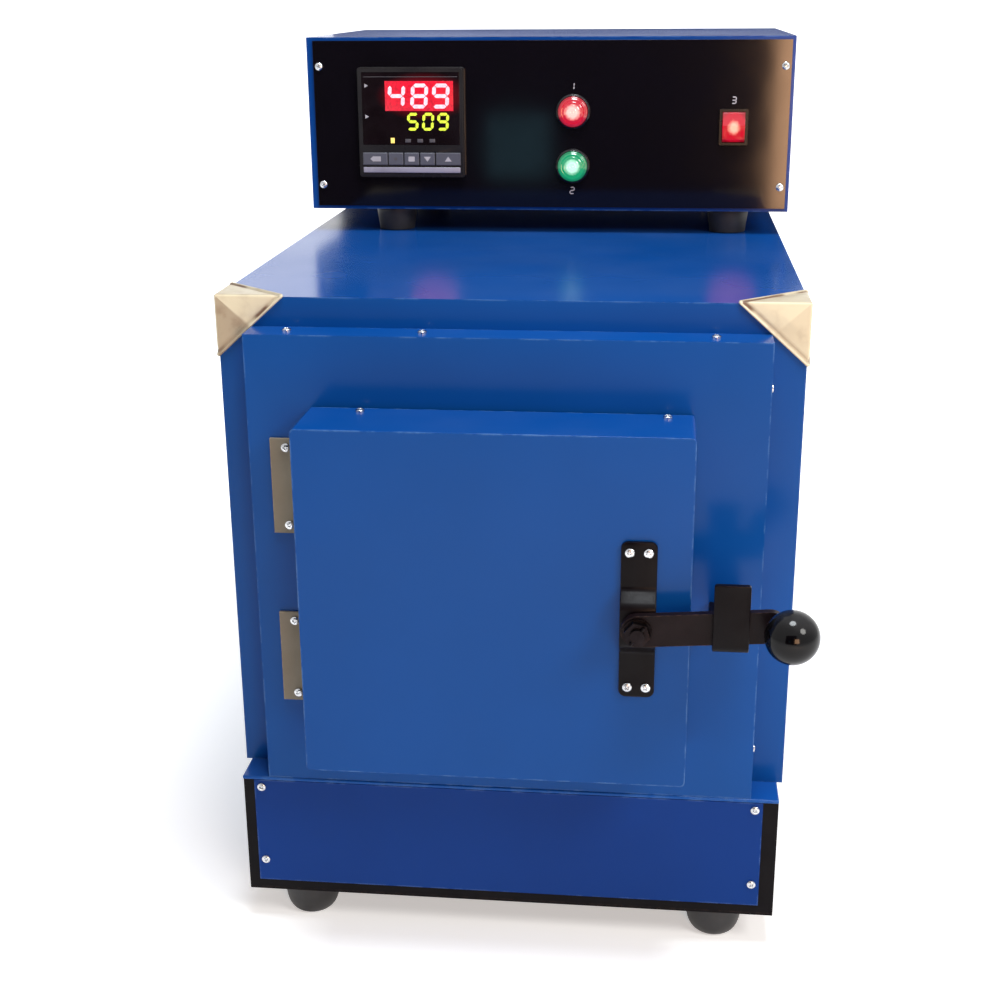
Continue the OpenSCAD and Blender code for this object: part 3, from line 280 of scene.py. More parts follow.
def linked(name: str, data: bpy.types.ID) -> bpy.types.Object:
    """A new object in the scene that holds this data."""
    made = bpy.data.objects.new(name, data)
    bpy.context.scene.collection.objects.link(made)
    return made


def smoothed(mesh: bpy.types.Mesh, sharp_above: float) -> None:
    """Shades a mesh smooth, with the edges that fold more than an angle left sharp."""
    mesh.polygons.foreach_set("use_smooth", np.ones(len(mesh.polygons), bool))
    mesh.set_sharp_from_angle(angle=sharp_above)


def mesh_object(name: str, surface: Surface, smooth_below: float = 40.0, weld: float = 1e-6,
                values: dict[str, Array] | None = None) -> bpy.types.Object:
    """Makes a mesh object from a surface.

    Args:
        name: the object's name.
        surface: its points and faces.
        smooth_below: edges sharper than this angle in degrees stay sharp.
        weld: points closer than this are one.
        values: named numbers for the points, which a material can read.

    Returns:
        The linked object, at the origin.
    """
    mesh = bpy.data.meshes.new(name)
    mesh.from_pydata(surface.points.tolist(), [], surface.faces)
    for key, numbers in (values or {}).items():
        attribute = mesh.attributes.new(key, "FLOAT", "POINT")
        attribute.data.foreach_set("value", np.asarray(numbers, np.float32).ravel())
    tidy_mesh(mesh, weld)
    smoothed(mesh, math.radians(smooth_below))
    return linked(name, mesh)


def tidy_mesh(mesh: bpy.types.Mesh, weld: float) -> None:
    """Welds double points, drops empty faces and turns all faces outwards."""
    work = bmesh.new()
    work.from_mesh(mesh)
    bmesh.ops.remove_doubles(work, verts=work.verts, dist=weld)
    bmesh.ops.dissolve_degenerate(work, edges=work.edges, dist=weld)
    bmesh.ops.recalc_face_normals(work, faces=work.faces)
    work.to_mesh(mesh)
    work.free()


# Shader nodes.


Colour = tuple[float, float, float]


def linear(colour: Colour) -> tuple[float, float, float, float]:
    """The linear value of a colour given as 0 to 255 screen values."""
    share = np.asarray(colour, float) / 255
    low = share / 12.92
    high = ((share + 0.055) / 1.055) ** 2.4
    return (*np.where(share <= 0.04045, low, high).tolist(), 1.0)


class Graph:
    """A tree of shader nodes, filled by short calls."""

    def __init__(self, tree: bpy.types.NodeTree) -> None:
        """Starts on an empty or new tree."""
        self.tree = tree

    def node(self, kind: str, settings: dict[str, Any] | None = None,
             **inputs: Any) -> bpy.types.Node:
        """Adds a node.

        Args:
            kind: the node's type, without the leading ShaderNode.
            settings: the node's own properties.
            inputs: values or sockets for its inputs; a name i0, i1 or i2 is a place number.

        Returns:
            The new node.
        """
        made = self.tree.nodes.new("ShaderNode" + kind)
        for key, value in (settings or {}).items():
            setattr(made, key, value)
        for key, value in inputs.items():
            place = int(key[1:]) if key[0] == "i" and key[1:].isdigit() else key.replace("_", " ")
            self.feed(made.inputs[place], value)
        return made

    def feed(self, socket: bpy.types.NodeSocket, value: Any) -> None:
        """Links a socket, or sets its value."""
        if isinstance(value, bpy.types.NodeSocket):
            self.tree.links.new(value, socket)
        else:
            socket.default_value = value

    def maths(self, operation: str, *values: Any) -> bpy.types.NodeSocket:
        """The result of one maths operation on numbers or sockets."""
        made = self.node("Math", {"operation": operation})
        for socket, value in zip(made.inputs, values):
            self.feed(socket, value)
        return made.outputs[0]

    def ranged(self, value: Any, low: float, high: float, to_low: Any = 0.0,
               to_high: Any = 1.0) -> bpy.types.NodeSocket:
        """A value mapped smoothly from one range to another, and clamped."""
        made = self.node("MapRange", {"interpolation_type": "SMOOTHSTEP"}, Value=value,
                         From_Min=low, From_Max=high, To_Min=to_low, To_Max=to_high)
        return made.outputs["Result"]

    def mixed(self, share: Any, first: Any, second: Any) -> bpy.types.NodeSocket:
        """Two colours mixed by a share."""
        made = self.node("Mix", {"data_type": "RGBA"})
        self.feed(made.inputs[0], share)
        self.feed(made.inputs[6], first)
        self.feed(made.inputs[7], second)
        return made.outputs[2]


def place_of(graph: Graph) -> bpy.types.NodeSocket:
    """The Object coordinates."""
    return graph.node("TexCoord").outputs["Object"]


def upward(graph: Graph) -> bpy.types.NodeSocket:
    """How far a face looks up: the height of its normal."""
    normal = graph.node("NewGeometry").outputs["Normal"]
    return graph.node("SeparateXYZ", Vector=normal).outputs["Z"]


def noise_of(graph: Graph, scale: Any, detail: float = 2.0, **more: Any) -> bpy.types.NodeSocket:
    """Noise on the Object coordinates, about 0.5 on average."""
    made = graph.node("TexNoise", Vector=place_of(graph), Scale=scale, Detail=detail, **more)
    return made.outputs[0]


def far_from(graph: Graph, middle: Sequence[float],
             reach: tuple[float, float]) -> bpy.types.NodeSocket:
    """The distance from a middle, with x and z each divided by its reach."""
    shifted = graph.node("VectorMath", {"operation": "SUBTRACT"}, i0=place_of(graph), i1=middle)
    flat = graph.node("VectorMath", {"operation": "MULTIPLY"}, i0=shifted.outputs[0],
                      i1=(1 / reach[0], 0.0, 1 / reach[1]))
    far = graph.node("VectorMath", {"operation": "LENGTH"}, i0=flat.outputs[0])
    return far.outputs["Value"]


def new_material(name: str) -> tuple[bpy.types.Material, Graph, bpy.types.Node]:
    """A new material, its graph and its shader."""
    made = bpy.data.materials.new(name)
    made.use_nodes = True
    return made, Graph(made.node_tree), made.node_tree.nodes["Principled BSDF"]


class Effect(Enum):
    """The effects that several finishes share, each one node group."""

    # Edges that wear; on the enamel the same mask also paints a highlight along the bends.
    EDGE_WEAR_AND_HIGHLIGHT = "edge_wear_and_highlight"
    PEEL = "orange_peel"
    DUST = "settled_dust"
    SMEARS = "smears"
    CLOUDS = "clouded_colour"


class EffectLibrary:
    """Builds each shared effect once and places it in materials."""

    def __init__(self) -> None:
        """Starts with no group made."""
        self.made: dict[Effect, bpy.types.NodeTree] = {}

    def place(self, graph: Graph, effect: Effect, **values: Any) -> bpy.types.NodeSocket:
        """Puts an effect into a material.

        Args:
            graph: the material's graph.
            effect: which effect.
            values: its inputs.

        Returns:
            The effect's one output.
        """
        if effect not in self.made:
            self.made[effect] = self.build(effect)
        made = graph.node("Group", {"node_tree": self.made[effect]}, **values)
        return made.outputs[0]

    def build(self, effect: Effect) -> bpy.types.NodeTree:
        """Makes the node group of an effect."""
        maker = {Effect.EDGE_WEAR_AND_HIGHLIGHT: self.edge_wear_and_highlight, Effect.PEEL: self.peel,
                 Effect.DUST: self.dust, Effect.SMEARS: self.smears,
                 Effect.CLOUDS: self.clouds}[effect]
        return maker(bpy.data.node_groups.new(effect.value, "ShaderNodeTree"))

    def opened(self, tree: bpy.types.NodeTree, inputs: dict[str, Any],
               output: tuple[str, str]) -> tuple[Graph, bpy.types.Node]:
        """Gives a new group its sockets.

        Args:
            tree: the group.
            inputs: each input's name and default.
            output: the output's name and socket type.

        Returns:
            The group's graph and its input node.
        """
        for name, value in inputs.items():
            kind = "NodeSocketColor" if isinstance(value, tuple) else "NodeSocketFloat"
            socket = tree.interface.new_socket(name, in_out="INPUT", socket_type=kind)
            socket.default_value = value
        tree.interface.new_socket(output[0], in_out="OUTPUT", socket_type=output[1])
        graph = Graph(tree)
        return graph, tree.nodes.new("NodeGroupInput")

    def closed(self, graph: Graph, value: bpy.types.NodeSocket) -> bpy.types.NodeTree:
        """Links a group's result to its output node and returns the group."""
        out = graph.tree.nodes.new("NodeGroupOutput")
        graph.feed(out.inputs[0], value)
        return graph.tree

    def edge_wear_and_highlight(self, tree: bpy.types.NodeTree) -> bpy.types.NodeTree:
        """Where a rounded normal leaves the true one, broken up by noise."""
        graph, given = self.opened(tree, {"Radius": 0.001, "Scale": 60.0, "Amount": 0.5},
                                   ("Mask", "NodeSocketFloat"))
        bevel = graph.node("Bevel", {"samples": 4}, Radius=given.outputs["Radius"])
        flat = graph.node("NewGeometry").outputs["Normal"]
        dot = graph.node("VectorMath", {"operation": "DOT_PRODUCT"}, i0=bevel.outputs[0], i1=flat)
        bend = graph.ranged(dot.outputs["Value"], 0.985, 0.86)
        grit = noise_of(graph, given.outputs["Scale"], 4.0, Roughness=0.55)
        grit = graph.ranged(grit, 0.42, 0.62)
        worn = graph.maths("MULTIPLY", bend, grit)
        return self.closed(graph, graph.maths("MULTIPLY", worn, given.outputs["Amount"]))

    def peel(self, tree: bpy.types.NodeTree) -> bpy.types.NodeTree:
        """The low waves of sprayed paint."""
        graph, given = self.opened(tree, {"Scale": 300.0}, ("Height", "NodeSocketFloat"))
        return self.closed(graph, noise_of(graph, given.outputs["Scale"], 1.0, Roughness=0.4))

    def dust(self, tree: bpy.types.NodeTree) -> bpy.types.NodeTree:
        """More on faces that look up, and patchy."""
        graph, given = self.opened(tree, {"Scale": 9.0, "Amount": 0.2},
                                   ("Mask", "NodeSocketFloat"))
        level = graph.ranged(upward(graph), 0.3, 0.95)
        patch = noise_of(graph, given.outputs["Scale"], 3.0, Roughness=0.55)
        both = graph.maths("MULTIPLY", level, graph.ranged(patch, 0.3, 0.75))
        return self.closed(graph, graph.maths("MULTIPLY", both, given.outputs["Amount"]))

    def smears(self, tree: bpy.types.NodeTree) -> bpy.types.NodeTree:
        """Roughness that wanders between two values, as wiped surfaces have it."""
        graph, given = self.opened(tree, {"Low": 0.2, "High": 0.4, "Scale": 7.0},
                                   ("Roughness", "NodeSocketFloat"))
        cloud = noise_of(graph, given.outputs["Scale"], Roughness=0.5)
        return self.closed(graph, graph.ranged(cloud, 0.3, 0.72, given.outputs["Low"],
                                               given.outputs["High"]))

    def clouds(self, tree: bpy.types.NodeTree) -> bpy.types.NodeTree:
        """A colour that drifts a little towards another."""
        graph, given = self.opened(
            tree, {"Colour": (1.0, 1.0, 1.0, 1.0), "Other": (1.0, 1.0, 1.0, 1.0), "Scale": 6.0},
            ("Colour", "NodeSocketColor"))
        cloud = noise_of(graph, given.outputs["Scale"], 3.0, Roughness=0.55)
        return self.closed(graph, graph.mixed(graph.ranged(cloud, 0.3, 0.7),
                                              given.outputs["Colour"], given.outputs["Other"]))


EFFECTS = EffectLibrary()


# Finishes. Colours are screen values from 0 to 255.


@dataclass(frozen=True)
class Finish:
    """What every finish has: a name and a material built once."""

    name: str

    def material(self) -> bpy.types.Material:
        """The finish's material, made at its first use."""
        found = bpy.data.materials.get(self.name)
        if found:
            return found
        made, graph, shader = new_material(self.name)
        self.dress(graph, shader)
        return made

    def dress(self, graph: Graph, shader: bpy.types.Node) -> None:
        """Links the finish's nodes to its shader."""
        raise NotImplementedError

    def bump(self, graph: Graph, shader: bpy.types.Node, height: bpy.types.NodeSocket,
             depth: float) -> None:
        """Feeds a height, in metres of depth, to the shader's normal."""
        made = graph.node("Bump", Height=height, Strength=1.0, Distance=depth)
        graph.feed(shader.inputs["Normal"], made.outputs[0])


@dataclass(frozen=True)
class Enamel(Finish):
    """Glossy stoved paint on sheet steel."""

    colour: Colour = (10, 72, 146)
    shade: Colour = (8, 68, 139)
    gloss: float = 0.2
    specular: float = 0.14
    dusty: float = 0.04
    dust: Colour = (150, 165, 190)
    wear: float = 0.5
    # A lighter tint of the paint for the edges: chipped paint, and a painted highlight on the
    # bends.
    chip_and_highlight_share: float = 0.7
    chip_and_highlight_lift: float = 92.0

    def dress(self, graph: Graph, shader: bpy.types.Node) -> None:
        """Clouded colour, edges lighter as chipped paint and as a painted highlight on the bends,
        dust on top, smeared gloss, a matt underside.
        """
        base = EFFECTS.place(graph, Effect.CLOUDS, Colour=linear(self.colour),
                             Other=linear(self.shade), Scale=5.0)
        worn = EFFECTS.place(graph, Effect.EDGE_WEAR_AND_HIGHLIGHT, Radius=0.0022, Scale=70.0,
                             Amount=self.wear)
        # Painted highlight: the bends take this lighter tint of the blue, together with chipped
        # paint.
        chip_and_highlight = tuple(min(255, self.chip_and_highlight_share * c + self.chip_and_highlight_lift) for c in self.colour)
        base = graph.mixed(worn, base, linear(chip_and_highlight))
        dust = EFFECTS.place(graph, Effect.DUST, Scale=7.0, Amount=self.dusty)
        base = graph.mixed(dust, base, linear(self.dust))
        graph.feed(shader.inputs["Base Color"], base)
        rough = EFFECTS.place(graph, Effect.SMEARS, Low=self.gloss - 0.02,
                              High=self.gloss + 0.03, Scale=6.0)
        under = graph.ranged(upward(graph), -0.5, -0.95)
        graph.feed(shader.inputs["Roughness"],
                   graph.maths("ADD", rough, graph.maths("MULTIPLY", under, 0.6)))
        graph.feed(shader.inputs["Specular IOR Level"],
                   graph.ranged(under, 0.0, 1.0, self.specular, 0.0))
        peel = EFFECTS.place(graph, Effect.PEEL, Scale=420.0)
        self.bump(graph, shader, peel, 0.000004)


@dataclass(frozen=True)
class BlackPaint(Finish):
    """Black paint on forged or bent steel, rubbed brown at its edges."""

    colour: Colour = (6, 3, 6)
    rubbed: Colour = (66, 50, 46)
    gloss: float = 0.34
    wear: float = 0.5
    specular: float = 0.09

    def dress(self, graph: Graph, shader: bpy.types.Node) -> None:
        """Clouded black, rubbed edges and a grainy skin."""
        base = EFFECTS.place(graph, Effect.CLOUDS, Colour=linear(self.colour),
                             Other=linear(tuple(c + 6 for c in self.colour)), Scale=40.0)
        worn = EFFECTS.place(graph, Effect.EDGE_WEAR_AND_HIGHLIGHT, Radius=0.0012, Scale=260.0,
                             Amount=self.wear)
        graph.feed(shader.inputs["Base Color"], graph.mixed(worn, base, linear(self.rubbed)))
        graph.feed(shader.inputs["Metallic"], graph.maths("MULTIPLY", worn, 0.5))
        rough = EFFECTS.place(graph, Effect.SMEARS, Low=self.gloss - 0.06,
                              High=self.gloss + 0.14, Scale=60.0)
        graph.feed(shader.inputs["Roughness"], rough)
        shader.inputs["Specular IOR Level"].default_value = self.specular
        skin = EFFECTS.place(graph, Effect.PEEL, Scale=900.0)
        self.bump(graph, shader, skin, 0.00005)


@dataclass(frozen=True)
class Metal(Finish):
    """Bare or plated metal, with fine lines along one axis."""

    colour: Colour = (190, 192, 196)
    rough: float = 0.28
    lines: tuple[float, float, float] = (1.0, 1.0, 1.0)
    line_scale: float = 500.0
    tarnish: Colour | None = None

    def dress(self, graph: Graph, shader: bpy.types.Node) -> None:
        """Lines from stretched noise, and a tarnish that drifts over it."""
        other = self.tarnish or tuple(0.86 * c for c in self.colour)
        base = EFFECTS.place(graph, Effect.CLOUDS, Colour=linear(self.colour),
                             Other=linear(other), Scale=45.0)
        graph.feed(shader.inputs["Base Color"], base)
        shader.inputs["Metallic"].default_value = 1.0
        stretch = graph.node("Mapping", Vector=place_of(graph), Scale=self.lines)
        noise = graph.node("TexNoise", Vector=stretch.outputs[0], Scale=self.line_scale,
                           Detail=3.0)
        rough = graph.ranged(noise.outputs[0], 0.3, 0.7, self.rough - 0.07, self.rough + 0.12)
        graph.feed(shader.inputs["Roughness"], rough)
        self.bump(graph, shader, noise.outputs[0], 0.00002)


@dataclass(frozen=True)
class GuardPlate(Finish):
    """A cream-plated guard with painted shade: darker on top and on the lower half of the front
    triangle, and brown in patches in the groove.
    """

    colour: Colour = (214, 205, 178)
    tan: Colour = (156, 138, 116)
    brown: Colour = (112, 88, 72)
    # Shares of painted shade on the front triangle's lower half and on faces that look up.
    crease_half_painted_shade: float = 0.75
    top_painted_shade: float = 0.6
    stain_tan: float = 0.25
    # Where the painted shade in the groove starts and ends, measured from the rolled edge.
    groove_shade_starts: tuple[float, float] = (1.9 * MM, 2.7 * MM)
    groove_shade_ends: tuple[float, float] = (5.6 * MM, 3.6 * MM)
    ragged_by: float = 1.2 * MM
    least_groove_shade: float = 0.25

    def dress(self, graph: Graph, shader: bpy.types.Node) -> None:
        """Painted shade in two colours, mixed in by two values of the mesh.

        The crease value is above 0 on the lower half of the front triangle, whose painted shade it
        sets, and from_edge is the distance from the rolled edge, which places the painted shade in
        the groove.
        """
        stain = noise_of(graph, 90.0, 4.0)
        crease = graph.node("Attribute", {"attribute_name": "shade_past_crease"}).outputs["Fac"]
        # Painted shade: the front triangle's lower half and faces that look up go darker.
        dull = graph.maths("MAXIMUM", graph.maths("MULTIPLY", crease, self.crease_half_painted_shade),
                           graph.ranged(upward(graph), 0.6, 0.95, 0.0, self.top_painted_shade))
        share = graph.maths("ADD", dull, graph.ranged(stain, 0.45, 0.75, 0.0, self.stain_tan))
        base = graph.mixed(share, linear(self.colour), linear(self.tan))
        far = graph.node("Attribute", {"attribute_name": "from_edge"}).outputs["Fac"]
        ragged = graph.maths("ADD", far, graph.maths("MULTIPLY", stain, self.ragged_by))
        # Painted shade in the groove by the rolled edge: brown, ragged and in patches.
        groove = graph.maths("MULTIPLY", graph.ranged(ragged, *self.groove_shade_starts),
                             graph.ranged(ragged, *self.groove_shade_ends))
        patch = graph.ranged(noise_of(graph, 36.0), 0.4, 0.6, self.least_groove_shade, 1.0)
        groove = graph.maths("MULTIPLY", groove, patch)
        graph.feed(shader.inputs["Base Color"], graph.mixed(groove, base, linear(self.brown)))
        graph.feed(shader.inputs["Roughness"],
                   EFFECTS.place(graph, Effect.SMEARS, Low=0.28, High=0.44, Scale=50.0))
        shader.inputs["Specular IOR Level"].default_value = 0.2
        self.bump(graph, shader, EFFECTS.place(graph, Effect.PEEL, Scale=260.0), 0.00003)


@dataclass(frozen=True)
class Moulded(Finish):
    """Moulded plastic or phenolic with a fine grain."""

    colour: Colour = (40, 42, 46)
    rough: float = 0.42
    grain: float = 0.00004
    grain_scale: float = 1600.0
    specular: float = 0.5
    smear: float = 0.07
    dusty: float = 0.12
    dust: Colour = (120, 122, 126)

    def dress(self, graph: Graph, shader: bpy.types.Node) -> None:
        """Slightly clouded colour, smeared gloss and grain."""
        base = EFFECTS.place(graph, Effect.CLOUDS, Colour=linear(self.colour),
                             Other=linear(tuple(0.86 * c for c in self.colour)), Scale=30.0)
        dust = EFFECTS.place(graph, Effect.DUST, Scale=40.0, Amount=self.dusty)
        graph.feed(shader.inputs["Base Color"], graph.mixed(dust, base, linear(self.dust)))
        rough = EFFECTS.place(graph, Effect.SMEARS, Low=self.rough - self.smear,
                              High=self.rough + self.smear, Scale=30.0)
        graph.feed(shader.inputs["Roughness"], rough)
        shader.inputs["Specular IOR Level"].default_value = self.specular
        self.bump(graph, shader, EFFECTS.place(graph, Effect.PEEL, Scale=self.grain_scale),
                  self.grain)


@dataclass(frozen=True)
class Rubber(Finish):
    """Black rubber, greyed a little by dust."""

    colour: Colour = (24, 23, 25)
    shade: Colour = (34, 33, 35)
    dust: Colour = (74, 72, 72)
    dusty: float = 0.5

    def dress(self, graph: Graph, shader: bpy.types.Node) -> None:
        """A dull skin with fine grain and dust in patches."""
        base = EFFECTS.place(graph, Effect.CLOUDS, Colour=linear(self.colour),
                             Other=linear(self.shade), Scale=60.0)
        dust = EFFECTS.place(graph, Effect.DUST, Scale=60.0, Amount=self.dusty)
        graph.feed(shader.inputs["Base Color"], graph.mixed(dust, base, linear(self.dust)))
        graph.feed(shader.inputs["Roughness"],
                   EFFECTS.place(graph, Effect.SMEARS, Low=0.42, High=0.7, Scale=40.0))
        self.bump(graph, shader, EFFECTS.place(graph, Effect.PEEL, Scale=1400.0), 0.00006)


@dataclass(frozen=True)
class FireBrick(Finish):
    """Cast refractory: pale, porous, browned in patches by heat."""

    colour: Colour = (226, 219, 202)
    browned: Colour = (196, 176, 146)
    pore: Colour = (140, 126, 106)
    pore_scale: float = 420.0

    def dress(self, graph: Graph, shader: bpy.types.Node) -> None:
        """Heat patches, dark pores from cells, and grit in the height."""
        share = graph.ranged(noise_of(graph, 13.0, 5.0, Roughness=0.65), 0.42, 0.74)
        base = graph.mixed(share, linear(self.colour), linear(self.browned))
        cells = graph.node("TexVoronoi", Vector=place_of(graph), Scale=self.pore_scale)
        pores = graph.ranged(cells.outputs["Distance"], 0.16, 0.34)
        pores = graph.maths("MAXIMUM", pores, graph.ranged(noise_of(graph, 160.0), 0.6, 0.5))
        base = graph.mixed(pores, linear(self.pore), base)
        graph.feed(shader.inputs["Base Color"], base)
        shader.inputs["Roughness"].default_value = 0.92
        height = graph.maths("ADD", graph.maths("MULTIPLY", pores, 0.7),
                             graph.maths("MULTIPLY", noise_of(graph, 900.0, 4.0), 0.5))
        self.bump(graph, shader, height, 0.0004)


@dataclass(frozen=True)
class Fibre(Finish):
    """Ceramic fibre, felted or twisted."""

    colour: Colour = (234, 232, 224)
    stretch: tuple[float, float, float] = (1.0, 1.0, 1.0)

    def dress(self, graph: Graph, shader: bpy.types.Node) -> None:
        """Fine crossed streaks in colour and height, with a little sheen."""
        turned = graph.node("Mapping", Vector=place_of(graph), Scale=self.stretch)
        fine = graph.node("TexNoise", Vector=turned.outputs[0], Scale=700.0, Detail=5.0,
                          Distortion=1.2)
        share = graph.ranged(fine.outputs[0], 0.35, 0.65)
        dark = linear(tuple(0.84 * c for c in self.colour))
        graph.feed(shader.inputs["Base Color"], graph.mixed(share, dark, linear(self.colour)))
        shader.inputs["Roughness"].default_value = 0.95
        shader.inputs["Sheen Weight"].default_value = 0.15
        self.bump(graph, shader, fine.outputs[0], 0.0003)


@dataclass(frozen=True)
class Glow(Finish):
    """A lit plastic lens or rocker, palest at its middle."""

    rim: Colour = (205, 18, 48)
    heart: Colour = (255, 226, 214)
    middle: tuple[float, float, float] = (0.0, 0.0, 0.0)
    reach: tuple[float, float] = (0.0115, 0.0115)
    strength: float = 0.9
    core: float = 0.28
    fade: float = 0.34
    wander: float = 0.22
    dim_rim: float = 0.45

    def dress(self, graph: Graph, shader: bpy.types.Node) -> None:
        """The distance from the middle, over the reach, picks from pale to deep colour."""
        noise = graph.maths("SUBTRACT", noise_of(graph, 420.0), 0.5)
        far = graph.maths("ADD", far_from(graph, self.middle, self.reach),
                          graph.maths("MULTIPLY", noise, self.wander))
        share = graph.ranged(far, self.core, self.core + self.fade)
        deep = graph.ranged(far, 0.75, 1.02, 1.0, self.dim_rim)
        colour = graph.mixed(share, linear(self.heart), linear(self.rim))
        dim = graph.node("VectorMath", {"operation": "SCALE"}, i0=colour)
        graph.feed(dim.inputs["Scale"], deep)
        graph.feed(shader.inputs["Emission Color"], dim.outputs[0])
        shader.inputs["Emission Strength"].default_value = self.strength
        dark = linear(tuple(0.5 * c for c in self.rim))
        graph.feed(shader.inputs["Base Color"], graph.mixed(share, linear(self.rim), dark))
        graph.feed(shader.inputs["Roughness"],
                   EFFECTS.place(graph, Effect.SMEARS, Low=0.08, High=0.18, Scale=200.0))
        shader.inputs["Coat Weight"].default_value = 0.5


@dataclass(frozen=True)
class Segment(Finish):
    """A lit segment or lamp behind a display's window."""

    colour: Colour = (255, 190, 200)
    strength: float = 1.0

    def dress(self, graph: Graph, shader: bpy.types.Node) -> None:
        """Light that is a little uneven."""
        shade = linear(tuple(0.82 * c for c in self.colour))
        light = EFFECTS.place(graph, Effect.CLOUDS, Colour=linear(self.colour), Other=shade,
                              Scale=500.0)
        graph.feed(shader.inputs["Emission Color"], light)
        graph.feed(shader.inputs["Base Color"], light)
        shader.inputs["Emission Strength"].default_value = self.strength
        shader.inputs["Roughness"].default_value = 0.3


@dataclass(frozen=True)
class DisplayGlass(Finish):
    """A dark window that a lit field reddens from behind."""

    colour: Colour = (16, 9, 12)
    lit: Colour = (150, 4, 26)
    middle: tuple[float, float, float] = (0.0, 0.0, 0.0)
    reach: tuple[float, float] = (0.045, 0.022)
    shade: Colour = (22, 14, 18)
    strength: float = 0.35

    def dress(self, graph: Graph, shader: bpy.types.Node) -> None:
        """A red haze round the lit field fades outwards."""
        haze = graph.ranged(far_from(graph, self.middle, self.reach), 1.0, 0.55)
        graph.feed(shader.inputs["Emission Color"],
                   graph.mixed(haze, (0.0, 0.0, 0.0, 1.0), linear(self.lit)))
        shader.inputs["Emission Strength"].default_value = self.strength
        graph.feed(shader.inputs["Base Color"],
                   EFFECTS.place(graph, Effect.CLOUDS, Colour=linear(self.colour),
                                 Other=linear(self.shade), Scale=50.0))
        graph.feed(shader.inputs["Roughness"],
                   EFFECTS.place(graph, Effect.SMEARS, Low=0.07, High=0.16, Scale=60.0))
        shader.inputs["Specular IOR Level"].default_value = 0.35


class Palette:
    """The furnace's finishes."""

    cabinet = Enamel("cabinet_enamel")
    door = Enamel("door_enamel", colour=(8, 68, 141), shade=(7, 65, 135), wear=0.75)
    box = Enamel("box_enamel", colour=(9, 62, 134), shade=(8, 56, 124))
    # A darker blue than the cabinet's, on the base's skirt and front plate: painted shade on the
    # low front.
    shaded_plinth = Enamel("plinth_enamel_painted_shade", colour=(8, 54, 130), shade=(7, 50, 123), specular=0.1)
    # A lighter blue than the cabinet's, on the floor pan's ledge: painted light on its upward face.
    ledge = Enamel("lit_ledge_enamel", colour=(14, 78, 158), shade=(12, 72, 148), wear=0.7)
    guard = GuardPlate("guard_plate")
    # Near black on the base frame and bottom: painted shade in the gaps round the base's front
    # plate.
    frame_shade_black = BlackPaint("frame_shade_black")
    latch_black = BlackPaint("latch_black")
    lever_brown = BlackPaint("lever_paint", colour=(17, 9, 12), rubbed=(92, 68, 58))
    screw = Metal("screw_plate", colour=(214, 216, 220), rough=0.2)
    steel = Metal("brushed_sheet", colour=(186, 188, 190), rough=0.36, lines=(1.0, 1.0, 24.0),
                  line_scale=60.0)
    aluminium = Metal("cast_aluminium", colour=(190, 192, 196), rough=0.45)
    hinge = BlackPaint("hinge_paint", colour=(122, 112, 96), rubbed=(176, 158, 130), gloss=0.4,
                       wear=0.8, specular=0.3)
    pin = Metal("hinge_pin_steel", colour=(168, 160, 146), rough=0.3, tarnish=(124, 112, 96))
    bolt = Metal("blued_bolt", colour=(34, 30, 32), rough=0.36, tarnish=(20, 17, 18))
    coil = Metal("coil_wire", colour=(128, 110, 96), rough=0.55, tarnish=(92, 78, 70))
    bezel = Moulded("lamp_bezel_black", colour=(22, 20, 24), rough=0.2)
    knob = Moulded("knob_phenolic", colour=(5, 4, 6), rough=0.1, smear=0.03,
                   grain=0.000002, specular=0.2)
    panel = Moulded("panel_gloss", colour=(12, 9, 15), rough=0.08, smear=0.008,
                    grain=0.0, specular=0.45)
    controller = Moulded("controller_shell", colour=(27, 26, 29), rough=0.34, specular=0.3)
    key = Moulded("key_plastic", colour=(82, 84, 96), rough=0.4)
    strip = Moulded("strip_plastic", colour=(148, 146, 164), rough=0.3)
    mark = Moulded("printed_mark", colour=(176, 174, 182), rough=0.5)
    dim_mark = Moulded("dim_mark", colour=(74, 72, 78), rough=0.5)
    switch = Moulded("switch_shell", colour=(12, 11, 13), rough=0.3, specular=0.25)
    rubber = Rubber("foot_rubber")
    brick = FireBrick("muffle_brick")
    throat = FireBrick("throat_brick_face", colour=(214, 204, 182), browned=(178, 154, 122))
    wool = Fibre("ceramic_wool")
    rope = Fibre("seal_rope", colour=(222, 216, 200), stretch=(1.0, 2.0, 1.0))
    ceramic = Moulded("glazed_ceramic", colour=(226, 220, 204), rough=0.3, grain=0.00001)
    red_digit = Segment("process_digit", colour=(255, 196, 210), strength=0.85)
    red_field = Segment("process_field", colour=(206, 6, 40), strength=0.7)
    green_digit = Segment("set_digit", colour=(206, 226, 62), strength=0.85)
    led = Segment("small_led", colour=(250, 214, 110), strength=1.0)


# Pieces that stand for CAD nodes, or lie on them.


def corners(node: str) -> tuple[Array, Array]:
    """The lowest and highest corner of a CAD node, as arrays."""
    low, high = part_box(node)
    return np.array(low), np.array(high)


def body_holding(node: str) -> str:
    """The body that a CAD node belongs to."""
    for body, members in frame["record"]["behaviour"]["bodies"].items():
        if node in members:
            return body
    raise KeyError(node)


def placed(piece: bpy.types.Object, finish: Finish, like: str,
           replaces: Sequence[str] = ()) -> bpy.types.Object:
    """Gives a piece its finish and body.

    Args:
        piece: the new piece.
        finish: its finish.
        like: the CAD node whose body it takes.
        replaces: the CAD nodes that it stands for.

    Returns:
        The same piece.
    """
    piece.data.materials.clear()
    piece.data.materials.append(finish.material())
    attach(piece, body_holding(like))
    if replaces:
        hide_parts(*replaces)
    log.info("%s rides on %s", piece.name, body_holding(like))
    return piece


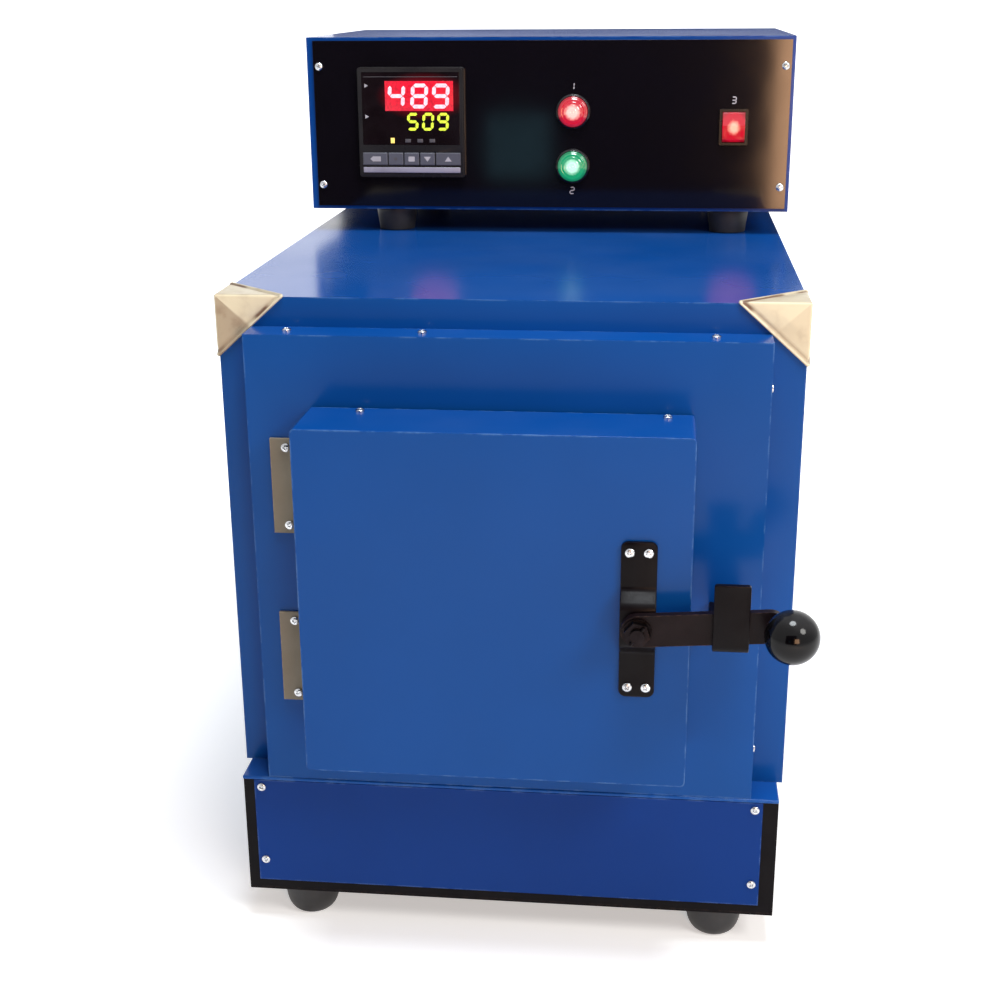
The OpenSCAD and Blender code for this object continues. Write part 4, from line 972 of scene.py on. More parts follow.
def dressed(node: str, finish: Finish) -> None:
    """Gives a CAD node that stays its finish."""
    mesh = frame["nodes"][node].data
    mesh.materials.clear()
    mesh.materials.append(finish.material())
    log.info("%s keeps its CAD shape", node)


def points_of(mesh: bpy.types.Mesh) -> Array:
    """A mesh's points, n by 3."""
    points = np.zeros(len(mesh.vertices) * 3)
    mesh.vertices.foreach_get("co", points)
    return points.reshape(-1, 3)


def edge_ends(mesh: bpy.types.Mesh) -> Array:
    """The two end points of each edge, edges by 2 by 3."""
    ends = np.zeros(len(mesh.edges) * 2, np.int64)
    mesh.edges.foreach_get("vertices", ends)
    return points_of(mesh)[ends.reshape(-1, 2)]


def eased_copy(node: str, finish: Finish, edge: float, bend: float = 0.0, open_side: str = "",
               segments: int = 2) -> bpy.types.Object:
    """A merged copy of a CAD node with rounded edges, which stands for it.

    An edge that lies on one face of the node's box and by another is an outer bend and gets the
    larger radius; every other sharp edge gets the smaller one.

    Args:
        node: the CAD node.
        finish: its finish.
        edge: the radius of the sharp edges, in metres.
        bend: the radius of the outer bends; 0 for the same as edge.
        open_side: faces of the box whose edges are no bends, such as "+y-z".
        segments: faces on each rounding.

    Returns:
        The new piece.
    """
    mesh = bpy.data.meshes.new(node + "_eased")
    work = bmesh.new()
    work.from_mesh(frame["nodes"][node].data)
    bmesh.ops.remove_doubles(work, verts=work.verts, dist=WELD)
    bmesh.ops.dissolve_limit(work, angle_limit=FLAT_FOLD, verts=work.verts, edges=work.edges)
    folds = np.array([e.calc_face_angle(0.0) for e in work.edges])
    work.to_mesh(mesh)
    work.free()
    low, high = corners(node)
    ends = edge_ends(mesh)
    walls = np.concatenate([ends - low, high - ends], 2)
    on_wall = (np.abs(walls) < ON_WALL).all(1)
    by_wall = (np.abs(walls) < NEAR_WALL).all(1)
    names = ["-x", "-y", "-z", "+x", "+y", "+z"]
    shut = np.array([n not in open_side for n in names])
    outer = (on_wall & shut).any(1) & ((by_wall & shut).sum(1) >= 2)
    outer &= ~(on_wall & ~shut).any(1)
    radius = max(edge, bend)
    weight = np.where(outer & (bend > 0), 1.0, edge / radius) * (folds > SHARP_FOLD)
    attribute = mesh.attributes.new("bevel_weight_edge", "FLOAT", "EDGE")
    attribute.data.foreach_set("value", weight.astype(np.float32))
    smoothed(mesh, SHARP_FOLD)
    piece = linked(node + "_eased", mesh)
    bevel = piece.modifiers.new("edges", "BEVEL")
    bevel.limit_method = "WEIGHT"
    bevel.width = radius
    bevel.segments = segments
    bevel.harden_normals = True
    bevel.use_clamp_overlap = True
    return placed(piece, finish, node, [node])


def islands(node: str) -> list[tuple[Array, Array]]:
    """The boxes of a CAD node's separate solids.

    Points at one place count as one. Each starts with its own number, and the lowest number
    spreads along the faces until none changes.

    Args:
        node: the CAD node.

    Returns:
        The lowest and highest corner of each solid.
    """
    mesh = frame["nodes"][node].data
    spots, same = np.unique(np.round(points_of(mesh), 6), axis=0, return_inverse=True)
    same = same.ravel()
    mesh.calc_loop_triangles()
    corner = np.zeros(len(mesh.loop_triangles) * 3, np.int64)
    mesh.loop_triangles.foreach_get("vertices", corner)
    faces = same[corner].reshape(-1, 3)
    label = np.arange(len(spots))
    while True:
        lowest = label[faces].min(1)
        spread = label.copy()
        np.minimum.at(spread, faces.ravel(), np.repeat(lowest, 3))
        if (spread == label).all():
            break
        label = spread
    return [(spots[label == k].min(0), spots[label == k].max(0)) for k in np.unique(label)]


@dataclass
class Screws:
    """Cross-headed dome screws that stand for a node's plain ones."""

    node: str
    finish: Finish
    radius: float = 3.3 * MM
    height: float = 2.25 * MM
    collar: float = 0.7 * MM
    slot_half: float = 0.42 * MM
    slot_reach: float = 1.9 * MM
    slot_depth: float = 1.15 * MM
    slot_width: float = 1.4
    slot_slope: float = 0.5
    slot_end: float = 0.35
    shank: float = 1.8 * MM
    stub: float = 2.5 * MM
    dome: float = 0.93
    first_turn: float = 0.35
    turn_step: float = 2.4
    rim_share: float = 0.97

    def head(self) -> Surface:
        """One head, its seat at height 0 and its axis along z.

        Height = collar + (height - collar) sqrt(1 - (dome r / radius)^2), less the cross: a
        steep step of how near the point is to either arm's middle line. The step's place and
        width are shares of slot_half, and its end's width is a share of slot_reach.
        """
        rings, steps = 15, 40
        share = np.linspace(0, 1, rings)[:, None]
        angle = np.linspace(0, FULL_TURN, steps, endpoint=False)[None]
        x, y = share * self.radius * np.cos(angle), share * self.radius * np.sin(angle)
        dome = self.collar + (self.height - self.collar) * np.sqrt(1 - (self.dome * share) ** 2)
        lowest = self.collar + (self.height - self.collar) * math.sqrt(1 - self.dome ** 2)
        near = np.minimum(np.abs(x), np.abs(y))
        far = np.maximum(np.abs(x), np.abs(y))
        inside = np.clip((self.slot_width * self.slot_half - near)
                         / (self.slot_slope * self.slot_half), 0, 1)
        inside *= np.clip((self.slot_reach - far) / (self.slot_end * self.slot_reach), 0, 1)
        z = dome + 0 * angle - self.slot_depth * inside
        top = np.stack([x, y, z], -1)
        rim = top[-1]
        down = [rim * [1, 1, 0] + [0, 0, h] for h in (lowest * 0.45, 0.0)]
        neck = rim * [self.shank / self.radius, self.shank / self.radius, 0]
        foot = neck - [0, 0, self.stub]
        rows = np.concatenate([top, np.stack([*down, neck, foot, foot * [0, 0, 1]])])
        return grid_surface(rows, wrap_columns=True)

    def build(self) -> bpy.types.Object:
        """Makes all the heads in one piece, which stands for the node."""
        parts = []
        for number, (low, high) in enumerate(islands(self.node)):
            seat, axis = self.seat_of(low, high)
            first, second, along = across_axes(axis)
            turn = self.first_turn + self.turn_step * number
            spin = np.array([[math.cos(turn), -math.sin(turn), 0],
                             [math.sin(turn), math.cos(turn), 0], [0, 0, 1]])
            basis = np.stack([first, second, along], 1) @ spin
            parts.append(self.head().turned_by(basis).moved(seat))
        piece = mesh_object(self.node + "_heads", joined(parts), 35.0, 1e-7)
        return placed(piece, self.finish, self.node, [self.node])

    def seat_of(self, low: Array, high: Array) -> tuple[Array, Array]:
        """Where a screw's head sits and which way it points, from the wider end of its solid."""
        points = points_of(frame["nodes"][self.node].data)
        mine = points[((points >= low - 1e-6) & (points <= high + 1e-6)).all(1)]
        middle = (low + high) / 2
        width = high - low
        lane = int(np.argmax(np.abs(width - 2 * self.radius)))
        others = [k for k in range(3) if k != lane]
        out = np.linalg.norm(mine[:, others] - middle[others], axis=1)
        wide = out > self.rim_share * self.radius
        level = mine[wide, lane].mean()
        sign = 1.0 if level > middle[lane] else -1.0
        seat = middle.copy()
        seat[lane] = mine[wide, lane].min() if sign > 0 else mine[wide, lane].max()
        axis = np.zeros(3)
        axis[lane] = sign
        return seat, axis


@dataclass
class Plinth:
    """The base: frame, skirt, bottom, front plate, ledge, screws and feet."""

    tread: float = 13.5 * MM
    recess: float = 6 * MM
    recess_depth: float = 2.5 * MM
    bulge_share: float = 0.62

    def build(self) -> None:
        """Makes and dresses everything under the cabinet."""
        # Near black: painted shade round the base's front plate.
        eased_copy("base_frame", Palette.frame_shade_black, 0.8 * MM)
        eased_copy("base_skirt", Palette.shaded_plinth, 0.5 * MM, 2.0 * MM, "-y+z-z")
        eased_copy("base_bottom", Palette.frame_shade_black, 0.7 * MM)
        eased_copy("base_front_plate", Palette.shaded_plinth, 0.5 * MM, 0.9 * MM, "+y")
        eased_copy("floor_pan", Palette.ledge, 1.1 * MM)
        Screws("base_screws", Palette.screw).build()
        self.feet()

    def feet(self) -> None:
        """Domed rubber feet: a profile with soft corners, turned about each foot's middle."""
        parts = []
        for low, high in islands("furnace_feet"):
            middle = (low + high) / 2
            top = (high[0] - low[0]) / 2
            height = corners("base_bottom")[0][2]
            bulge = np.linspace(math.radians(10), math.pi / 2, 9)
            side = np.stack([self.tread + (top - self.tread) * np.sin(bulge),
                             self.bulge_share * height * (1 - np.cos(bulge))], -1)
            under = np.array([[0, self.recess_depth], [self.recess, self.recess_depth],
                              [self.recess, 0.0], [self.tread - 1.5 * MM, 0.0], side[0]])
            over = np.array([side[-1], [top, height], [0, height]])
            profile = np.concatenate([under[:1], softened(under, 0.8 * MM)[1:-1], side,
                                      softened(over, 1.5 * MM)[1:]])
            parts.append(lathed(profile, (middle[0], middle[1], 0.0), (0, 0, 1), 56))
        piece = mesh_object("rubber_feet", joined(parts), 50.0)
        placed(piece, Palette.rubber, "furnace_feet", ["furnace_feet"])


@dataclass
class Cabinet:
    """The blue cabinet with its fascia, guards and rear cover."""

    sheet_bend: float = 2.2 * MM
    guard_legs: tuple[float, float, float] = (50 * MM, 45 * MM, 45 * MM)
    guard_reach: float = 33 * MM
    skin: float = 0.05 * MM
    rolled_at: tuple[float, ...] = (0, 0.15, 0.5, 1.1, 1.8, 2.5, 3.6, 4.8, 6.0, 33)
    rolled_lift: tuple[float, ...] = (0.1, 0.6, 0.95, 1.0, 0.8, 0.4, 0.34, 0.55, 0.66, 0.7)
    crease_lift: float = 0.26
    crease_at: tuple[float, float, float, float] = (0, 0.18, 0.45, 1.0)
    # How much painted shade the front triangle's lower half takes, on the left and on the right
    # guard.
    lower_half_shade_share: tuple[float, float] = (1.0, 0.3)

    def build(self) -> None:
        """Makes and dresses the cabinet's sheets, its screws and its corner guards."""
        eased_copy("cabinet_wrap", Palette.cabinet, 0.5 * MM, self.sheet_bend, "-z", 3)
        eased_copy("front_fascia", Palette.cabinet, 0.5 * MM, 2.0 * MM, "+y-z", 3)
        eased_copy("rear_cover", Palette.cabinet, 0.5 * MM)
        dressed("rear_bulkhead", Palette.steel)
        Screws("cabinet_screws", Palette.screw).build()
        for node in ("corner_guard_left", "corner_guard_right"):
            self.guard(node)
        eased_copy("cable_grommets", Palette.rubber, 0.3 * MM)

    def guard(self, node: str) -> None:
        """A pressed guard: three triangles that meet at the cabinet's corner.

        A ring of points runs round the corner at each share v of the way from the long edges to
        it: point = (1 - v) * (edge point) + height * normal. On the cabinet's edges the normal
        turns from one face's to the next. The height, as a share of the guard's thickness, goes
        by the distance in mm: up to the rolled edge, down into a groove and up to the plate,
        which has a faint crease along each triangle's middle. Two values of the points tell the
        finish how far they are from the edge, which places its painted shade in the groove, and
        which are past the front triangle's crease, which take its painted shade on that half.
        """
        low = corners(node)[0]
        wrap_low, wrap_high = corners("cabinet_wrap")
        left = low[0] < 0
        thick = wrap_low[1] - low[1]
        corner = np.array([wrap_low[0] if left else wrap_high[0], wrap_low[1], wrap_high[2]])
        inward = np.diag([1.0 if left else -1.0, 1.0, -1.0])
        legs = np.asarray(self.guard_legs)[:, None] * inward
        steps, turn_steps = 24, 5
        ring, normals, middles = [], [], []
        for p, q, n in ((0, 2, 1), (2, 1, 0), (1, 0, 2)):
            u = np.linspace(0, 1, steps)[:, None]
            ring.append((1 - u) * legs[p] + u * legs[q])
            normals.append(np.repeat(-inward[n][None], steps, 0))
            middles.append(1 - np.abs(2 * u[:, 0] - 1))
            following = -inward[p]
            turn = np.linspace(0, math.pi / 2, turn_steps)[1:-1, None]
            ring.append(np.repeat(legs[q][None], turn_steps - 2, 0))
            normals.append(-np.cos(turn) * inward[n] + np.sin(turn) * following)
            middles.append(np.zeros(turn_steps - 2))
        ring, normals = np.concatenate(ring), np.concatenate(normals)
        middle = np.concatenate(middles)
        reach = self.guard_reach
        far = np.concatenate([np.linspace(0, 7, 29) * MM, np.linspace(8 * MM, reach, 24)])
        share = far / reach
        height = np.interp(far / MM, self.rolled_at, self.rolled_lift)
        crease = np.interp(share, self.crease_at, [0, 0, 1, 0])[:, None] * middle[None]
        lift = thick * (height[:, None] + self.crease_lift * crease)
        outer = ((1 - share)[:, None, None] * ring[None] + lift[..., None] * normals[None])
        tip = np.linspace(0, 1, 4)[1:, None, None]
        mean = -inward.sum(0)[None, None]
        cap = (1 - tip) * normals[None] + tip * mean
        cap = lift[-1].mean() * cap / np.linalg.norm(cap, axis=2, keepdims=True)
        base = self.skin * normals[None]
        inner = (1 - share)[::-1, None, None] * ring[None] + base
        rows = np.concatenate([base, inner, outer, cap])
        place = np.arange(len(ring))
        # The front triangle's lower half, marked for its painted shade.
        past = ((place >= steps // 2) & (place < steps)) * self.lower_half_shade_share[0 if left else 1]
        away = np.concatenate([np.full(1, reach), far[::-1], far, np.full(3, reach)])
        values = {"from_edge": np.repeat(away[:, None], len(ring), 1),
                  "shade_past_crease": np.repeat(past[None], len(rows), 0)}
        piece = mesh_object(node + "_pressed", grid_surface(rows + corner, wrap_columns=True), 50.0,
                            1e-6, values)
        placed(piece, Palette.guard, node, [node])


@dataclass
class Chamber:
    """The muffle, its coils and insulation, and what goes through the rear."""

    coil_radius: float = 4.6 * MM
    wire_radius: float = 0.9 * MM
    pitch: float = 9 * MM
    wire_sides: int = 8
    turn_steps: int = 22
    coil_least: float = 1.5
    lead_round: float = 0.4 * MM

    def build(self) -> None:
        """Dresses the slabs and winds the coils."""
        for node in ("hearth_slab", "muffle_roof", "muffle_side_left", "muffle_side_right",
                     "muffle_back"):
            eased_copy(node, Palette.brick, 0.7 * MM)
        eased_copy("throat_brick", Palette.throat, 1.2 * MM)
        for node in ("insulation_floor", "insulation_roof", "insulation_sides",
                     "insulation_rear"):
            dressed(node, Palette.wool)
        for node in ("heating_coils_left", "heating_coils_right"):
            self.coils(node)
        eased_copy("coil_beads", Palette.ceramic, 0.3 * MM)
        eased_copy("thermocouple", Palette.ceramic, 0.3 * MM)
        eased_copy("thermocouple_head", Palette.aluminium, 0.6 * MM)

    def coils(self, node: str) -> None:
        """Winds round wire where the node has its coils, with straight leads to the rear.

        A solid wider than coil_least times the coil's radius is a coil, any other a lead. Along
        a coil, the point is middle + radius (sin a, 0, cos a), and y grows evenly with a.
        """
        parts = []
        for low, high in islands(node):
            if high[0] - low[0] > self.coil_least * self.coil_radius:
                parts.append(self.winding(low, high))
            else:
                middle, length = (low + high) / 2, high[1] - low[1]
                radius = (high[0] - low[0]) / 2
                lead = softened(np.array([[0, 0], [radius, 0], [radius, length], [0, length]]),
                                self.lead_round)
                parts.append(lathed(lead, (middle[0], low[1], middle[2]), (0, 1, 0), 16))
        piece = mesh_object(node + "_wound", joined(parts), 60.0, 1e-7)
        placed(piece, Palette.coil, node, [node])

    def winding(self, low: Array, high: Array) -> Surface:
        """One coil between the ends of its CAD solid."""
        start, end = low[1] + self.wire_radius, high[1] - self.wire_radius
        turns = math.floor((end - start) / self.pitch)
        angle = np.linspace(0, FULL_TURN * turns, turns * self.turn_steps + 1)
        middle = (low + high) / 2
        radial = np.stack([np.sin(angle), 0 * angle, np.cos(angle)], -1)
        path = radial * self.coil_radius + [middle[0], 0, middle[2]]
        path[:, 1] = np.linspace(start, end, len(angle))
        ring = np.linspace(0, FULL_TURN, self.wire_sides, endpoint=False)
        section = self.wire_radius * np.stack([np.cos(ring), np.sin(ring)], -1)
        return swept(path, section, radial)


@dataclass
class Hinges:
    """The two hinges: fixed plates, loose pins and the door's leaves."""

    def build(self) -> None:
        """Rounds the edges of the hinges' metal."""
        eased_copy("hinge_plates", Palette.hinge, 0.45 * MM)
        eased_copy("hinge_leaves", Palette.hinge, 0.45 * MM)
        eased_copy("hinge_pins", Palette.pin, 0.3 * MM)


@dataclass
class Door:
    """The door: shell, liner, plug, rope seal and screws."""

    strand_turns: int = 150
    path_steps: int = 1500
    rope_sides: int = 18
    rope_width: float = 11 * MM
    rope_corner: float = 9 * MM
    strand_depth: float = 0.14

    def build(self) -> None:
        """Makes and dresses the door."""
        eased_copy("door_shell", Palette.door, 0.5 * MM, 2.4 * MM, "+y", 3)
        eased_copy("door_liner", Palette.steel, 0.5 * MM, 1.6 * MM, "-y")
        eased_copy("door_plug", Palette.brick, 1.0 * MM)
        Screws("door_screws", Palette.screw).build()
        self.seal()

    def seal(self) -> None:
        """A plaited rope: an oval tube whose skin swells along two crossed spirals.

        Radius factor = 1 - depth + depth * max(|sin(s + a)|, |sin(s - a)|), where s runs along
        the rope and a round it.
        """
        low, high = corners("door_seal")
        size, middle = high - low, (low + high) / 2
        width = self.rope_width
        outline = rounded_outline(size[0] - width, size[2] - width, self.rope_corner, 24)
        closed = np.concatenate([outline, outline[:1]])
        length = lengths(closed)
        along = np.linspace(0, length[-1], self.path_steps, endpoint=False)
        path = np.stack([np.interp(along, length, closed[:, 0]) + middle[0],
                         np.full(self.path_steps, middle[1]),
                         np.interp(along, length, closed[:, 1]) + middle[2]], -1)
        spiral = (along / length[-1] * math.pi * self.strand_turns)[:, None]
        angle = np.linspace(0, FULL_TURN, self.rope_sides, endpoint=False)[None]
        swell = np.maximum(np.abs(np.sin(spiral + angle)), np.abs(np.sin(spiral - angle)))
        factor = 1 - self.strand_depth + self.strand_depth * swell
        half = np.array([size[1] / 2, width / 2])
        section = np.stack([half[0] * np.cos(angle) * factor, half[1] * np.sin(angle) * factor],
                           -1)
        surface = swept(path, section, (0.0, 1.0, 0.0), closed=True)
        piece = mesh_object("rope_seal", surface, 80.0)
        placed(piece, Palette.rope, "door_seal", ["door_seal"])


@dataclass
class Latch:
    """The latch: bent strap, pivot, lever, ball knob and keeper."""

    ball_radius: float = 18.3 * MM
    flat_radius: float = 10 * MM
    lean: float = math.radians(25)
    rise: float = math.radians(12)
    tilt: float = math.radians(4)
    strap_t: float = 3 * MM
    strap_flat: float = 28 * MM
    strap_slope: float = 9 * MM
    keeper_t: float = 4 * MM
    lip_h: float = 46 * MM

    def build(self) -> None:
        """Makes and dresses the latch."""
        self.strap()
        self.keeper()
        eased_copy("pivot_bolt", Palette.bolt, 0.35 * MM)
        eased_copy("lever_bar", Palette.lever_brown, 0.7 * MM)
        self.ball()

    def bent_bar(self, name: str, node: str, path: Array, thickness: float, reach: float,
                 end_round: float) -> None:
        """A flat bar bent along a side outline.

        Its half width at a distance d from an end is w - (r - sqrt(r^2 - (r - d)^2)), which
        rounds the bar's corners.

        Args:
            name: the piece's name.
            node: the CAD node that it stands for.
            path: [y, z] points of the bar's middle line.
            thickness: the bar's thickness.
            reach: how far before each bend its rounding starts.
            end_round: the corners' radius.
        """
        low, high = corners(node)
        line = softened(path, reach, 9)
        length = lengths(line)
        near_end = end_round * (1 - np.cos(np.linspace(0, math.pi / 2, 7)))
        spots = np.unique(np.concatenate([length, near_end, length[-1] - near_end]))
        line = np.stack([np.interp(spots, length, line[:, k]) for k in (0, 1)], 1)
        along = np.clip(np.minimum(spots, spots[-1] - spots), 0, end_round)
        width = high[0] - low[0]
        less = end_round - np.sqrt(end_round ** 2 - (end_round - along) ** 2)
        shape = rounded_outline(width, thickness, 0.7 * MM, 3)
        section = np.repeat(shape[None], len(line), 0)
        section[..., 0] *= (1 - 2 * less / width)[:, None]
        whole = np.column_stack([np.full(len(line), (low[0] + high[0]) / 2), line])
        surface = swept(whole, section, (1.0, 0.0, 0.0))
        placed(mesh_object(name, surface, 50.0), Palette.latch_black, node, [node])

    def strap(self) -> None:
        """The strap on the door, bent twice each way so that its middle stands off."""
        low, high = corners("latch_strap")
        half, mid = self.strap_t / 2, (low[2] + high[2]) / 2
        near, far = high[1] - half, low[1] + half
        flat = self.strap_flat / 2
        rise = [(high[2], near), (mid + flat + self.strap_slope, near), (mid + flat, far)]
        drop = [(2 * mid - z, y) for z, y in reversed(rise)]
        path = np.array([[y, z] for z, y in rise + drop])
        self.bent_bar("strap_bent", "latch_strap", path, self.strap_t, 3.2 * MM, 4.5 * MM)

    def keeper(self) -> None:
        """The keeper: foot, arm and lip from one bar."""
        low, high = corners("keeper")
        half = self.keeper_t / 2
        level = high[2] - self.lip_h - half
        path = np.array([[high[1] - half, low[2]], [high[1] - half, level],
                         [low[1] + half, level], [low[1] + half, high[2]]])
        self.bent_bar("keeper_bent", "keeper", path, self.keeper_t, 4.5 * MM, 1.6 * MM)

    def ball(self) -> None:
        """A ball cut flat at its seat: a circle's arc as a profile, turned about the neck."""
        low, high = corners("ball_knob")
        centre = np.array([high[0] - self.ball_radius, low[1] + self.ball_radius,
                           (low[2] + high[2]) / 2])
        out = np.array([math.sin(self.lean), -math.cos(self.lean) * math.cos(self.rise),
                        math.cos(self.lean) * math.sin(self.rise)])
        tilt = np.array([[math.cos(self.tilt), 0, -math.sin(self.tilt)], [0, 1, 0],
                         [math.sin(self.tilt), 0, math.cos(self.tilt)]])
        axis = tilt @ out
        cut = math.asin(self.flat_radius / self.ball_radius)
        arc = np.linspace(math.pi - cut, 0, 44)
        round_part = self.ball_radius * np.stack([np.sin(arc), np.cos(arc)], -1)
        seat = round_part[0]
        profile = np.concatenate([[[0.0, seat[1]]], [[seat[0] * 0.96, seat[1]]], round_part])
        piece = mesh_object("ball_knob_round", lathed(profile, centre, axis, 72), 60.0)
        placed(piece, Palette.knob, "ball_knob", ["ball_knob"])


class Symbol(Enum):
    """Plain marks on the keys."""

    LEFT = "left"
    DOT = "dot"
    SQUARE = "square"
    DOWN = "down"
    UP = "up"


@dataclass
class Display:
    """The controller's face: window, digits, marks, keys and strip."""

    process_value: str = "489"
    set_value: str = "509"
    field_x: tuple[float, float] = (-0.1405, -0.079)
    field_z: tuple[float, float] = (0.6200, 0.6458)
    process_x: tuple[float, float, float] = (-0.1302, -0.1095, -0.0903)
    process_size: tuple[float, float] = (15.5 * MM, 21.5 * MM)
    process_stroke: float = 3.3 * MM
    set_x: tuple[float, float, float] = (-0.1158, -0.1020, -0.0885)
    set_size: tuple[float, float] = (10.5 * MM, 15.5 * MM)
    set_stroke: float = 2.5 * MM
    set_gap: float = 1.6 * MM
    bar_gap: float = 0.12
    slant: float = 0.07
    haze_shift: float = 4 * MM
    proud: float = 0.12 * MM
    led_place: tuple[float, float] = (-0.1362, 0.5918)
    led_size: tuple[float, float] = (3.4 * MM, 4.6 * MM)
    bits_x: tuple[float, float, float] = (-0.1120, -0.1010, -0.1230)
    bits_z: float = 0.5925
    bit_size: tuple[float, float] = (5 * MM, 3 * MM)
    wedges_z: tuple[float, float] = (0.6418, 0.6150)
    wedge_half: tuple[float, float] = (1.6 * MM, 1.8 * MM)
    wedge_in: float = 4.2 * MM
    rule_in: float = 1.5 * MM
    rule_down: tuple[float, float] = (4.2 * MM, 3.7 * MM)
    symbol_size: float = 2.6 * MM
    strip_in: float = 3.6 * MM
    strip_gap: float = 1.6 * MM
    strip_height: float = 5.2 * MM
    lit: dict[str, str] = field(default_factory=lambda: {
        "0": "abcdef", "1": "bc", "2": "abged", "3": "abgcd", "4": "bcfg", "5": "acdfg",
        "8": "abcdefg", "9": "abcdfg"})

    def build(self) -> None:
        """Makes the window, what is lit behind it, the keys' marks and the strip."""
        low, high = corners("controller_window")
        face = low[1]
        middle_x = sum(self.field_x) / 2
        middle_z = sum(self.field_z) / 2
        haze = DisplayGlass("display_glass", middle=(middle_x + self.haze_shift, face, middle_z))
        eased_copy("controller_body", Palette.controller, 0.4 * MM, 0.8 * MM, "+y")
        eased_copy("controller_window", haze, 0.15 * MM)
        field_box = rounded_box((self.field_x[0], face - self.proud, self.field_z[0]),
                                (self.field_x[1], face + self.proud, self.field_z[1]), 0.1 * MM)
        placed(mesh_object("process_field", field_box), Palette.red_field, "controller_window")
        front = face - 2 * self.proud
        upper = [self.digit(c, x, middle_z, self.process_size, self.process_stroke, front)
                 for c, x in zip(self.process_value, self.process_x)]
        placed(mesh_object("process_digits", joined(upper)), Palette.red_digit,
               "controller_window")
        set_z = self.field_z[0] - self.set_gap - self.set_size[1] / 2
        under = [self.digit(c, x, set_z, self.set_size, self.set_stroke, front)
                 for c, x in zip(self.set_value, self.set_x)]
        placed(mesh_object("set_digits", joined(under)), Palette.green_digit,
               "controller_window")
        self.marks(low, high)
        self.keys()
        self.strip()

    def digit(self, figure: str, x: float, z: float, size: tuple[float, float], stroke: float,
              front: float) -> Surface:
        """One figure of seven bars.

        A bar is a long hexagon: its ends are pointed by half its stroke and stop short of the
        corner by a share of it. The figure leans to the right by the slant.

        Args:
            figure: which figure.
            x: its middle across.
            z: its middle in height.
            size: its width and height.
            stroke: a bar's width.
            front: the depth of its front.

        Returns:
            The lit bars as thin prisms.
        """
        w, h = (size[0] - stroke) / 2, (size[1] - stroke) / 2
        places = {"a": (0, h, 1), "g": (0, 0, 1), "d": (0, -h, 1), "f": (-w, h / 2, 0),
                  "b": (w, h / 2, 0), "e": (-w, -h / 2, 0), "c": (w, -h / 2, 0)}
        bars = []
        for name in self.lit[figure]:
            u, v, level = places[name]
            half = (w if level else h / 2) - self.bar_gap * stroke
            tip = half - stroke / 2
            bar = np.array([[-half, 0], [-tip, -stroke / 2], [tip, -stroke / 2], [half, 0],
                            [tip, stroke / 2], [-tip, stroke / 2]])
            bar = bar if level else bar[:, ::-1]
            bar = bar + [u, v]
            bar[:, 0] += self.slant * bar[:, 1]
            bars.append(prism(bar + [x, z], front, front + 2 * self.proud))
        return joined(bars)

    def marks(self, low: Array, high: Array) -> None:
        """Small printed marks on the window, and one small lamp."""
        face = low[1]
        (x, z), (w, h) = self.led_place, self.led_size
        led = rounded_box((x, face - self.proud, z), (x + w, face + self.proud, z + h), 0.1 * MM)
        placed(mesh_object("small_lamp", led), Palette.led, "controller_window")
        z, (w, h) = self.bits_z, self.bit_size
        bits = [rounded_box((x, face - self.proud, z), (x + w, face + self.proud, z + h),
                            0.08 * MM) for x in self.bits_x]
        rule = rounded_box(
            (low[0] + self.rule_in, face - self.proud, high[2] - self.rule_down[0]),
            (high[0] - self.rule_in, face + self.proud, high[2] - self.rule_down[1]), 0.08 * MM)
        placed(mesh_object("dim_marks", joined([*bits, rule])), Palette.dim_mark,
               "controller_window")
        w, h = self.wedge_half
        side = [prism(np.array([[-w, -h], [w, 0.0], [-w, h]]) + [low[0] + self.wedge_in, z],
                      face - self.proud, face + self.proud)
                for z in self.wedges_z]
        placed(mesh_object("value_marks", joined(side)), Palette.mark, "controller_window")

    def keys(self) -> None:
        """The five keys and a plain mark on each."""
        symbols = (Symbol.LEFT, Symbol.DOT, Symbol.SQUARE, Symbol.DOWN, Symbol.UP)
        for number, symbol in enumerate(symbols, 1):
            node = f"key_{number}"
            eased_copy(node, Palette.key, 0.3 * MM)
            low, high = corners(node)
            middle = (low + high) / 2
            outline = self.symbol(symbol) + [middle[0], middle[2]]
            mark = prism(outline, low[1] - 0.12 * MM, low[1] + 0.2 * MM)
            finish = Palette.dim_mark if symbol is Symbol.DOT else Palette.mark
            placed(mesh_object(node + "_mark", mark), finish, node)

    def symbol(self, symbol: Symbol) -> Array:
        """A mark's outline round (0, 0)."""
        s = self.symbol_size
        arrow = np.array([[-1.7, 0.0], [-0.6, 1.0], [-0.6, 0.85], [2.0, 0.85], [2.0, -0.85],
                          [-0.6, -0.85], [-0.6, -1.0]]) * s
        shapes = {Symbol.LEFT: arrow, Symbol.DOT: rounded_outline(1.2 * s, 1.2 * s, 0.6 * s, 6),
                  Symbol.SQUARE: rounded_outline(2.2 * s, 1.7 * s, 0.2 * s),
                  Symbol.DOWN: np.array([[-1.2, 0.8], [0.0, -0.9], [1.2, 0.8]]) * s,
                  Symbol.UP: np.array([[-1.2, -0.8], [1.2, -0.8], [0.0, 0.9]]) * s}
        return shapes[symbol]

    def strip(self) -> None:
        """The pale strip under the keys, as a thin cover over the controller's ledge."""
        low, high = corners("controller_body")
        key_low = corners("key_1")[0][2]
        top = key_low - self.strip_gap
        cover = rounded_box(
            (low[0] + self.strip_in, low[1] - 0.25 * MM, top - self.strip_height),
            (high[0] - self.strip_in, low[1] + 1.5 * MM, top), 0.7 * MM)
        placed(mesh_object("pale_strip", cover), Palette.strip, "controller_body")


